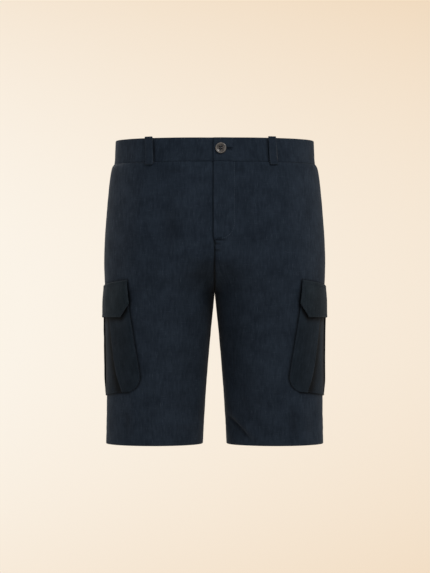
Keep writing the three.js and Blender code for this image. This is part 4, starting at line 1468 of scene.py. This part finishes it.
@dataclass
class WaistButton:
    """A dished button with four holes, sewn on with thread on a shank."""

    tailor: Tailor
    diameter: float = 18.0
    seat: float = 0.4
    segments: int = 64
    hole_radius: float = 1.0
    hole_spacing: float = 3.6
    shank: float = 1.0
    profile: tuple[Pair, ...] = (
        (5, 0), (1.4, 0), (0.8, 0.25), (0.3, 0.9), (0, 1.7), (0.1, 2.4), (0.4, 3), (0.85, 3.32), (1.4, 3.4),
        (2, 3.2), (2.6, 2.9), (3.2, 2.55), (4, 2.3), (6, 2.2),
    )

    def frame(self) -> tuple[Array, Array, Array, Array]:
        """The button's place and its three directions."""
        return button_place(self.tailor.form)

    def build(self) -> list[bpy.types.Object]:
        """Make the button and its thread.

        Returns:
            The button and the thread.
        """
        place, out, across, down = self.frame()
        radius = self.diameter / 2
        angles = np.linspace(0, 2 * math.pi, self.segments, endpoint=False)
        rings, worn = [], []
        for inset, up in self.profile:
            reach = radius - inset
            ring = [place + out * (self.seat + up) + reach * (across * math.cos(a) + down * math.sin(a))
                    for a in angles]
            rings.append(ring)
            # The edge attribute pales the rim's crest fully and the rest of the button a little.
            worn.append([float(near(inset - 1.2, 1.1)) if up > 1.5 else 0.2] * self.segments)
        rings = np.array(rings)
        piece = tube("waist_button_horn", rings, np.zeros((*rings.shape[:2], 2)), LEFT, np.array(worn))
        for sx in (-1, 1):
            for sz in (-1, 1):
                centre = place + (across * sx + down * sz) * self.hole_spacing / 2
                cut_from(piece, self.rod(centre, self.hole_radius, -2, 8))
        self.tailor.dress(piece, self.tailor.wardrobe.horn, "button", "waist_button")
        return [piece, self.thread()]

    def rod(self, centre: Array, radius: float, low: float, high: float) -> bpy.types.Object:
        """A round rod along the button's axis."""
        _, out, across, down = self.frame()
        rings = np.array([
            [centre + out * depth + radius * (across * math.cos(a) + down * math.sin(a))
             for a in np.linspace(0, 2 * math.pi, 16, endpoint=False)]
            for depth in (low, high)
        ])
        return tube("rod", rings, np.zeros((2, 16, 2)))

    def thread(self) -> bpy.types.Object:
        """The two bars of thread through the holes, and the wound shank."""
        place, out, across, down = self.frame()
        half = self.hole_spacing / 2
        seams = []
        for sz in (-1, 1):
            for offset in (-0.35, 0.0, 0.35):
                row = down * (half * sz + offset)
                path = [(-half, 1.2), (-half, 2.4), (-half * 0.7, 2.95), (0.0, 3.1), (half * 0.7, 2.95),
                        (half, 2.4), (half, 1.2)]
                points = np.array([place + row + across * u + out * (self.seat + w) for u, w in path])
                seams.append(Seam(points, np.tile(down, (len(points), 1))))
        for turn in range(7):
            base = place + out * (-1.6 + 0.42 * turn)
            ring = [base + self.shank * (across * math.cos(a) + down * math.sin(a))
                    for a in np.linspace(0, 2 * math.pi, 13)]
            seams.append(Seam(np.array(ring), np.tile(out, (len(ring), 1))))
        return self.tailor.sewn("waist_button_thread", seams, self.tailor.wardrobe.thread, "button",
                                length=0.9, spacing=0.5, width=0.42, rise=0.21, seed=15)


@dataclass
class CargoPocket:
    """The patch of a cargo pocket, with an open box pleat, its flap and their stitching."""

    tailor: Tailor
    side: Side
    centre: float = 28.0
    lean: float = 0.07
    slope: float = 0.092
    half_width: float = 80.0
    corner: float = 28.0
    mouth: float = 252.0
    bottom: float = 421.0
    pleat: Pair = (25.0, 40.0)
    pleat_rise: float = 2.7
    pleat_rise_length: float = 28.0
    pleat_margin: float = 12.0
    gap: float = 0.6
    cloth: float = 1.2
    flap_top: float = 240.0
    flap_bottom: float = 294.0
    flap_bottom_slope: float = 0.02
    flap_half_width: float = 85.0
    flap_cut: float = 22.0
    flap_cloth: float = 1.8
    flap_flare: float = 5.4
    flap_flare_length: float = 28.0
    edge_stitch: float = 1.8
    flap_stitch: float = 5.0

    @property
    def straight(self) -> float:
        """The drop at which the patch's lower corners begin."""
        return self.bottom - self.corner

    def turn_and_drop(self, across: Array, drop: Array) -> tuple[Array, Array]:
        """Where a place on the pocket lies on the leg."""
        down = drop - self.slope * across
        forward = self.centre + self.lean * (down - self.flap_top) + across
        return self.tailor.form.turn_at(self.side, down, forward), down

    def place(self, across: Array, drop: Array, height: Array | float) -> Array:
        """Points on the patch, a height over the leg's cloth."""
        turn, down = self.turn_and_drop(across, drop)
        form = self.tailor.form
        return form.raised(self.side, turn, down, form.drape(self.side, turn, down) + height)

    def pleat_at(self, drop: Array, half: Array) -> Array:
        """Half the pleat's opening."""
        down = clamped((drop - self.mouth) / (self.bottom - self.mouth))
        return np.minimum(mix(*self.pleat, down**3), half - self.pleat_margin)

    def half_at(self, drop: Array) -> Array:
        """Half the patch's width."""
        past = np.maximum(0, drop - self.straight)
        return self.half_width - self.corner + np.sqrt(np.maximum(0, self.corner**2 - past**2))

    def relief(self, across: Array, drop: Array) -> Array:
        """How far the patch's outer face stands over its lowest layer.

        Args:
            across: distances from the pocket's centre line.
            drop: drops, along the pocket.

        Returns:
            The heights, in millimetres.
        """
        half = self.half_at(drop)
        pleat = self.pleat_at(drop, half)
        begun = clamped((drop - self.mouth) / self.pleat_rise_length)
        rise = self.pleat_rise * begun * (1 - 0.7 * ease(drop, self.straight, self.bottom))
        away = np.abs(across)
        to_seam = clamped((half - away) / (half - pleat))
        from_fold = away - pleat
        lip = rise * np.sqrt(to_seam) * ease(from_fold, -0.7, 0.5)
        inset = np.minimum(half - away, self.bottom - drop)
        bag = 0.5 * unevenness(across + 300 * self.side, drop * 0.7, 31, 61) * ease(inset, 3, 18)
        ruffle = 0.16 * unevenness(across + drop, drop - across, 6.5, 62) * near(inset - 3, 5)
        groove = -0.26 * near(inset - self.edge_stitch, 0.9)
        floor = 0.25 * unevenness(across * 0.5, drop, 24, 63) * (1 - ease(from_fold, -3, 0)) * begun
        return lip + bag * 0.7 + ruffle + groove + floor

    def patch(self, name: str) -> bpy.types.Object:
        """Make the patch.

        Args:
            name: the CAD node that it stands for.

        Returns:
            The patch.
        """
        angles = np.linspace(0, math.pi / 2, 16)[1:]
        drops = np.concatenate([[self.mouth], spaced(self.mouth + 0.6, self.straight, 2.4),
                                self.straight + self.corner * np.sin(angles)])
        rows = []
        for drop in drops:
            half = float(self.half_at(np.array(drop)))
            fold = float(self.pleat_at(np.array(drop), np.array(half)))
            outer_part = np.concatenate([[half, half - 0.5], np.linspace(half - 1.1, fold + 1.2, 20)])
            edge = fold + np.array([0.7, 0.35, 0.0, -0.35, -0.7])
            floor = np.linspace(fold - 1.3, 0, 14)
            rows.append(both_ways(np.concatenate([outer_part, edge, floor])))
        across = np.array(rows)
        drop = np.broadcast_to(drops[:, None], across.shape)
        relief = self.relief(across, drop)
        outer = self.place(across, drop, self.gap + self.cloth + relief)
        inner = self.place(across, drop, self.gap + np.minimum(relief, relief * 0.8 + 0.1))
        uv = np.stack([across + 2600 * self.side, drop], axis=-1)
        half = self.half_at(drop)
        fold = self.pleat_at(drop, half)
        from_fold = np.abs(across) - fold
        worn = np.maximum(0.6 * near(from_fold - 0.8, 1.0), 0.5 * near(half - np.abs(across), 1.5))
        # Painted shade on the pleat's floor beside each fold, and under and just below the flap.
        worn = worn - near(clamped(from_fold + 6, -FAR, 0), 12) * (from_fold < 0.2)
        worn = worn - near(clamped(self.below_flap(across, drop) - 2.4, 0, FAR), 4.5)
        piece = closed_sheet(name + "_linen", outer, inner, uv, self.side, worn)
        return self.tailor.dress(piece, self.tailor.wardrobe.pocket, "linen", name)

    def below_flap(self, across: Array, drop: Array) -> Array:
        """How far places on the patch lie below the flap's lower edge."""
        cut = np.maximum(0, np.abs(across) - (self.flap_half_width - self.flap_cut))
        return drop - self.flap_bottom - (self.slope - self.flap_bottom_slope) * across + cut

    def flap_drop(self, across: Array, share: Array) -> tuple[Array, Array]:
        """The flap's drop at a share of its depth, and how far that is below its top edge."""
        top = self.flap_top - self.slope * across
        cut = np.maximum(0, np.abs(across) - (self.flap_half_width - self.flap_cut))
        drop = mix(top, self.flap_bottom - self.flap_bottom_slope * across - cut, share)
        return drop, drop - top

    def flap_place(self, across: Array, share: Array, height: Array | float) -> Array:
        """Points on the flap, a height over its inner face."""
        drop, depth = self.flap_drop(across, share)
        flare = self.flap_flare * (1 - np.exp(-depth / self.flap_flare_length))
        form = self.tailor.form
        forward = self.centre + self.lean * (drop - self.flap_top) + across
        turn = form.turn_at(self.side, drop, forward)
        lift = 0.3 + flare + height + form.drape(self.side, turn, drop) * (1 - 0.5 * share)
        return form.raised(self.side, turn, drop, lift)

    def flap_inset(self, across: Array, share: Array) -> Array:
        """The distance to the flap's nearest side or lower edge."""
        _, depth = self.flap_drop(across, share)
        _, whole = self.flap_drop(across, np.ones_like(share))
        slant = np.where(np.abs(across) > self.flap_half_width - self.flap_cut, math.sqrt(0.5), 1.0)
        return np.minimum((whole - depth) * slant, self.flap_half_width - np.abs(across))

    def flap(self, name: str) -> bpy.types.Object:
        """Make the flap.

        Args:
            name: the CAD node that it stands for.

        Returns:
            The flap.
        """
        straight = self.flap_half_width - self.flap_cut
        right = np.concatenate([[self.flap_half_width, self.flap_half_width - 0.5],
                                spaced(self.flap_half_width - 1.6, straight, 1.7),
                                spaced(straight, 0, 2.4)[1:]])
        columns = both_ways(right)
        shares = np.concatenate([[0, 0.012], spaced(0.04, 0.96, 0.035), [0.988, 1]])
        across, share = np.meshgrid(columns, shares)
        inset = self.flap_inset(across, share)
        _, depth = self.flap_drop(across, share)
        relief = 0.3 * unevenness(across + 40 * self.side, depth, 26, 81) * ease(inset, 2, 14)
        relief = relief - 0.3 * near(inset - self.flap_stitch, 1.1) + 0.14 * near(inset - 2.4, 2.0)
        relief = relief + 0.16 * unevenness(across + depth, depth - across, 6.0, 82) * near(inset - 4, 5)
        relief = relief + 0.35 * near(depth - 1.4, 2.2) - 0.3 * near(depth - 5.4, 1.2)
        outer = self.flap_place(across, share, self.flap_cloth + relief)
        inner = self.flap_place(across, share, 0.4 * relief)
        uv = np.stack([across + 3300 * self.side, depth], axis=-1)
        worn = np.maximum(near(inset, 1.6), 0.5 * near(depth, 1.6))
        piece = closed_sheet(name + "_linen", outer, inner, uv, self.side, worn)
        return self.tailor.dress(piece, self.tailor.wardrobe.trim, "linen", name)

    def stitching(self, word: str) -> bpy.types.Object:
        """Make the stitches of the patch and the flap.

        Args:
            word: the side's name.

        Returns:
            The stitches.
        """
        inset = self.edge_stitch
        half, low, corner = self.half_width - inset, self.bottom - inset, self.corner - inset
        down = [(half, d) for d in spaced(self.mouth + 3, self.straight, 5)]
        angles = np.linspace(0, math.pi / 2, 10)[1:]
        inner = self.half_width - self.corner
        bend = [(inner + corner * math.cos(a), self.straight + corner * math.sin(a)) for a in angles]
        right = np.array(down + bend + [(u, low) for u in spaced(inner, 0, 5)[1:]])
        path = np.concatenate([right, (right * (-1, 1))[-2::-1]])
        across, drop = path.T
        turn, leg_drop = self.turn_and_drop(across, drop)
        height = self.gap + self.cloth + self.relief(across, drop) + 0.02
        form = self.tailor.form
        seams = [Seam(self.place(across, drop, height), form.outward(self.side, turn, leg_drop))]
        seams += self.flap_seams()
        return self.tailor.sewn(f"cargo_stitching_{word}", seams, self.tailor.wardrobe.thread, length=2.4,
                                spacing=3.1, width=0.62, rise=0.24, seed=21 + self.side, side=self.side)

    def flap_seams(self) -> list[Seam]:
        """The flap's runs: along its side and lower edges, and along its top."""
        inset, seams = self.flap_stitch, []
        half = self.flap_half_width - inset
        knee = self.flap_half_width - self.flap_cut
        sides = [(half, s) for s in np.linspace(0.14, 0.7, 8)]
        right = np.array(sides + [(u, np.nan) for u in spaced(half - 1, 0, 4)])
        across = np.concatenate([right[:, 0], -right[-2::-1, 0]])
        share = np.concatenate([right[:, 1], right[-2::-1, 1]])
        _, whole = self.flap_drop(across, np.ones_like(across))
        slant = np.where(np.abs(across) > knee, math.sqrt(2), 1.0)
        along_edge = 1 - inset * slant / whole
        share = np.where(np.isnan(share), along_edge, np.minimum(share, along_edge))
        tops = spaced(-half, half, 4)
        _, depth = self.flap_drop(tops, np.ones_like(tops))
        for columns, shares in ((across, share), (tops, 5.4 / depth)):
            drop, _ = self.flap_drop(columns, shares)
            forward = self.centre + self.lean * (drop - self.flap_top) + columns
            turn = self.tailor.form.turn_at(self.side, drop, forward)
            points = self.flap_place(columns, shares, self.flap_cloth - 0.12)
            seams.append(Seam(points, self.tailor.form.outward(self.side, turn, drop)))
        return seams


@dataclass
class BeltLoop:
    """A belt loop: a folded strip, sewn down at both ends."""

    tailor: Tailor
    name: str
    side: Side
    face: Face
    x: float
    slant: float
    width: float = 12.0
    cloth: float = 1.5
    top: float = -2.2
    bottom: float = 44.5
    foot: float = 7.0
    stand: float = 2.4

    def section(self) -> Array:
        """The strip's section: heights over the waistband and drops, with rounded corners."""
        low, slot = 0.3, 0.3 + self.stand
        high = slot + self.cloth
        top, bottom, foot = self.top, self.bottom, self.foot
        return np.array([
            (high - 1, top), (high, top + 1.2), (high + 0.25, 12), (high + 0.3, 24), (high, bottom - 9),
            (high - 0.15, bottom - 1.2), (high - 1.1, bottom), (low + 0.5, bottom), (low, bottom - 0.7),
            (low, bottom - foot + 1.2), (slot - 0.8, bottom - foot), (slot + 0.2, bottom - foot - 2),
            (slot + 0.3, 24), (slot + 0.25, 12), (slot, top + foot + 2), (low + 0.6, top + foot - 0.4),
            (low, top + foot - 1.6), (low, 2), (slot - 1.2, top),
        ], float)

    def strip(self, across: Array, heights: Array, drops: Array) -> Array:
        """Points of the strip.

        Args:
            across: distances from the strip's centre line.
            heights: heights over the waistband.
            drops: drops below the waist's top edge.

        Returns:
            The points, for the wearer's left.
        """
        form = self.tailor.form
        x = self.x + across + self.slant * drops
        turn = form.turn_at_x(self.side, self.face, np.full_like(x, form.band_height / 2), np.abs(x))
        points = form.raised(self.side, turn, drops, heights)
        if self.x == 0:
            points[..., 0] = across
        return points

    def build(self) -> bpy.types.Object:
        """Make the loop.

        Returns:
            The loop.
        """
        section = self.section()
        centre = section.mean(axis=0)
        half = self.width / 2
        rings, places, worn = [], [], []
        for across in -both_ways(np.array([half, half - 0.35, half - 1.1, half / 3, 0])):
            pinch = 0.36 * max(0.0, (abs(across) - half + 1.1) / 1.1) ** 2
            heights, drops = section[:, 0], section[:, 1]
            heights = heights + pinch * np.sign(0.5 * (0.3 + self.stand) + 0.8 - heights)
            ridge = 0.14 * near(abs(across) - half + 1.6, 0.9) * (section[:, 0] > self.stand)
            rings.append(self.strip(np.full(len(section), across), heights + ridge, drops))
            run = np.concatenate([[0], np.cumsum(np.hypot(*np.diff(section, axis=0).T))])
            places.append(np.stack([np.full(len(section), across + centre[1]), run], axis=-1))
            worn.append(np.full(len(section), float(near(half - abs(across), 1.2))))
        piece = tube(self.name + "_linen", np.array(rings), np.array(places), self.side, np.array(worn))
        bevel = piece.modifiers.new("round", "BEVEL")
        bevel.width, bevel.segments = 0.3 * MM, 1
        bevel.limit_method, bevel.angle_limit = "ANGLE", math.radians(50)
        made_plain(piece)
        return self.tailor.dress(piece, self.tailor.wardrobe.band, "linen", self.name)

    def seams(self) -> tuple[list[Seam], list[Seam]]:
        """The loop's runs: down both edges, and the bar tacks at its ends."""
        high = 0.3 + self.stand + self.cloth
        edges, tacks = [], []
        drops = spaced(3, self.bottom - 3, 3)
        for across in (-self.width / 2 + 1.8, self.width / 2 - 1.8):
            heights = high + 0.25 * np.sin(math.pi * clamped(drops / self.bottom))
            points = self.strip(np.full_like(drops, across), heights, drops)
            edges.append(Seam(points, self.outward(drops, across)))
        for drop in (self.top + 3.2, self.bottom - 3.2):
            for across in spaced(-self.width / 2 + 1, self.width / 2 - 1, 0.7):
                ends = np.array([drop - 0.8, drop + 0.8])
                points = self.strip(np.full(2, across), np.full(2, high), ends)
                tacks.append(Seam(points, self.outward(ends, across)))
        return edges, tacks

    def outward(self, drops: Array, across: float) -> Array:
        """The way out of the cloth along the strip."""
        form = self.tailor.form
        x = np.abs(self.x + across + self.slant * drops)
        turn = form.turn_at_x(self.side, self.face, np.full_like(x, form.band_height / 2), x)
        return form.outward(self.side, turn, drops)


def belt_loops(tailor: Tailor) -> list[BeltLoop]:
    """The five belt loops, with the side and face of the waistband that each is on."""
    return [
        BeltLoop(tailor, "belt_loop_front_left", LEFT, FRONT, 93, 0.026),
        BeltLoop(tailor, "belt_loop_front_right", RIGHT, FRONT, 107, -0.07),
        BeltLoop(tailor, "belt_loop_back_left", LEFT, BACK, 100, 0.03),
        BeltLoop(tailor, "belt_loop_back_right", RIGHT, BACK, 98, 0.01),
        BeltLoop(tailor, "belt_loop_centre_back", LEFT, BACK, 0, 0),
    ]


@dataclass
class Loops:
    """All five belt loops and their stitching."""

    tailor: Tailor

    def build(self) -> list[bpy.types.Object]:
        """Make the loops.

        Returns:
            The loops and their stitches.
        """
        loops = belt_loops(self.tailor)
        made = [loop.build() for loop in loops]
        edges, tacks = [], []
        for loop in loops:
            turned = (loop.side, 1, 1)
            for runs, kept in zip(loop.seams(), (edges, tacks)):
                kept += [Seam(run.points * turned, run.outward * turned) for run in runs]
        sewn, thread = self.tailor.sewn, self.tailor.wardrobe.thread
        made.append(sewn("belt_loop_stitching", edges, thread, length=2.2, spacing=2.9, width=0.6, rise=0.24,
                         seed=31))
        made.append(sewn("belt_loop_bar_tacks", tacks, thread, length=1.2, spacing=0.9, width=0.66, rise=0.3,
                         seed=32))
        return made


# The cut of each piece


@dataclass(frozen=True)
class Cut:
    """The cut of what shows of a piece, in metres: its width, its length and its flat area."""

    width: float
    length: float
    area: float | None = None


CUTS = {
    "front": Cut(0.318, 0.466, 0.132),
    "back": Cut(0.317, 0.466, 0.1325),
    "waistband": Cut(0.47, 0.039),
    "cargo_pocket": Cut(0.163, 0.169, 0.0265),
    "cargo_flap": Cut(0.17, 0.054, 0.0087),
    "belt_loop": Cut(0.012, 0.061),
    "fly_shield": Cut(0.048, 0.139, 0.0062),
}


def declare_sheets(made: dict[str, bpy.types.Object]) -> None:
    """Look up each cloth piece's cut and do nothing with it."""
    for name, piece in made.items():
        key = next((k for k in CUTS if name.startswith(k)), None)
        if key is None:
            continue


# The studio


@dataclass
class Studio:
    """The camera, the lights, the pale surroundings and the floor."""

    camera_place: Triple = (0.0005, -4.5, -0.2235)
    lens: float = 169.3
    aim: Triple = (0.0, 0.0, -0.22)
    floor_z: float = -0.966
    floor_radius: float = 2.1
    floor_sides: int = 64
    warm: Colour = (0.879, 0.708, 0.527)
    pale: Colour = (0.965, 0.896, 0.799)
    frame_slope: Pair = (0.078, 0.104)
    ambient: float = 0.36
    ambient_colour: Colour = (0.97, 0.98, 1.0)

    def build(self) -> None:
        """Make everything that isn't the garment."""
        self.camera()
        self.world()
        self.floor()
        self.lights()
        settings = bpy.context.scene.view_settings
        settings.view_transform, settings.look = "Standard", "None"

    def camera(self) -> None:
        """The camera, level, straight in front."""
        data = bpy.data.cameras.new("camera")
        data.lens, data.sensor_width, data.sensor_fit, data.clip_end = self.lens, 36, "AUTO", 50
        made = in_scene("camera", data)
        made.location, made.rotation_euler = self.camera_place, (math.radians(90), 0, 0)
        bpy.context.scene.camera = made

    def world(self) -> None:
        """The surroundings: pale cream, a little darker to the right, over a plain soft light."""
        world = bpy.data.worlds.new("studio")
        world.use_nodes = True
        bpy.context.scene.world = world
        graph = Graph(world.node_tree)
        ray = graph.node("ShaderNodeTexCoord").outputs["Generated"]
        way = graph.node("ShaderNodeSeparateXYZ", {0: ray}).outputs
        across = graph.math("DIVIDE", way[0], self.frame_slope[0])
        up = graph.math("DIVIDE", way[2], self.frame_slope[1])
        share = graph.math("MULTIPLY_ADD", across, 0.24, 0.22)
        share = graph.math("MULTIPLY_ADD", graph.math("MULTIPLY", up, up), 0.46, share)
        share = graph.math("MULTIPLY_ADD", up, 0.07, share)
        share = graph.node("ShaderNodeClamp", {0: share}).outputs[0]
        colour = graph.blend(share, (*self.pale, 1), (*self.warm, 1))
        seen = graph.node("ShaderNodeLightPath").outputs["Is Camera Ray"]
        dimmed = (*(self.ambient * part for part in self.ambient_colour), 1)
        background = world.node_tree.nodes["Background"]
        graph.tree.links.new(graph.blend(seen, dimmed, colour), background.inputs["Color"])
        background.inputs["Strength"].default_value = 1.0

    def floor(self) -> None:
        """A pale round floor, well below the hems, that fades out at its rim."""
        rings, count = (0.02, 0.5, 1.0, 1.5, 1.8, self.floor_radius), self.floor_sides
        angles = np.linspace(0, 2 * math.pi, count, endpoint=False)
        points = [(r * math.cos(a), r * math.sin(a), self.floor_z) for r in rings for a in angles]
        sides = [(i, (i + 1) % count) for i in range(count)]
        faces = [
            (k * count + i, (k + 1) * count + i, (k + 1) * count + j, k * count + j)
            for k in range(len(rings) - 1) for i, j in sides
        ] + [tuple(range(count))]
        mesh = bpy.data.meshes.new("floor")
        mesh.from_pydata(points, [], faces)
        floor = in_scene("floor", mesh)
        material, graph, shader = new_material("pale_floor")
        place = graph.node("ShaderNodeTexCoord").outputs["Object"]
        flat = graph.node("ShaderNodeVectorMath", {0: place, 1: (1, 1, 0)}, operation="MULTIPLY").outputs[0]
        reach = graph.node("ShaderNodeVectorMath", {0: flat}, operation="LENGTH").outputs["Value"]
        mottled = graph.noise(place, 2.0)
        colour = graph.blend(mottled, (0.8, 0.735, 0.65, 1), (0.84, 0.775, 0.69, 1))
        graph.tree.links.new(colour, shader.inputs["Base Color"])
        fade = graph.math("SUBTRACT", 1.0, graph.step(reach, 0.9, 2.05))
        graph.tree.links.new(fade, shader.inputs["Alpha"])
        shader.inputs["Roughness"].default_value = 0.9
        mesh.materials.append(material)

    def lights(self) -> None:
        """A soft key from the front right, a weak fill, one light on each side and one high behind."""
        self.area("key", (1.5, -2.4, 2.2), 1.1, 58, (1.0, 0.98, 0.95))
        self.area("fill", (-2.0, -2.6, 0.6), 1.6, 10, (0.95, 0.97, 1.0))
        self.area("side_left", (2.4, 0.9, 0.6), 1.2, 14, (1.0, 0.98, 0.95))
        self.area("side_right", (-2.4, 0.9, 0.6), 1.2, 18, (1.0, 0.98, 0.95))
        self.area("back", (-1.0, 3.0, 1.9), 1.5, 52, (1.0, 0.99, 0.97))

    def area(self, name: str, place: Triple, size: float, power: float, colour: Colour) -> None:
        """A soft square light that faces the garment."""
        data = bpy.data.lights.new(name, "AREA")
        data.size, data.energy, data.color = size, power, colour
        made = in_scene(name, data)
        made.location, made.rotation_euler = place, aimed(place, self.aim)


def aimed(place: Triple, target: Triple) -> Triple:
    """The turn that points a light from a place to a target."""
    dx, dy, dz = (t - p for t, p in zip(target, place))
    return (math.atan2(math.hypot(dx, dy), -dz), 0.0, math.atan2(-dx, dy))


def main() -> None:
    """Build the shorts' pieces in order and report each."""
    logging.basicConfig(level=logging.INFO, format="%(name)s %(message)s")
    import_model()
    Studio().build()
    tailor = Tailor(Form(), Wardrobe(), Stitcher())
    sheets: dict[str, bpy.types.Object] = {}
    for side in Side:
        word = side.name.lower()
        for face in Face:
            name = f"{face.name.lower()}_{word}"
            sheets[name] = Panel(tailor, side, face).build(name)
        sheets[f"waistband_{word}"] = Waistband(tailor, side).build(f"waistband_{word}")
        pocket = CargoPocket(tailor, side)
        sheets[f"cargo_pocket_{word}"] = pocket.patch(f"cargo_pocket_{word}")
        sheets[f"cargo_flap_{word}"] = pocket.flap(f"cargo_flap_{word}")
        pocket.stitching(word)
    Waistband(tailor, LEFT).stitching()
    for loop in Loops(tailor).build()[:5]:
        sheets[loop.name.removesuffix("_linen")] = loop
    fly = Fly(tailor).build()
    sheets["fly_shield"] = fly[2]
    WaistButton(tailor).build()
    declare_sheets(sheets)


if __name__ == "__main__":
    main()
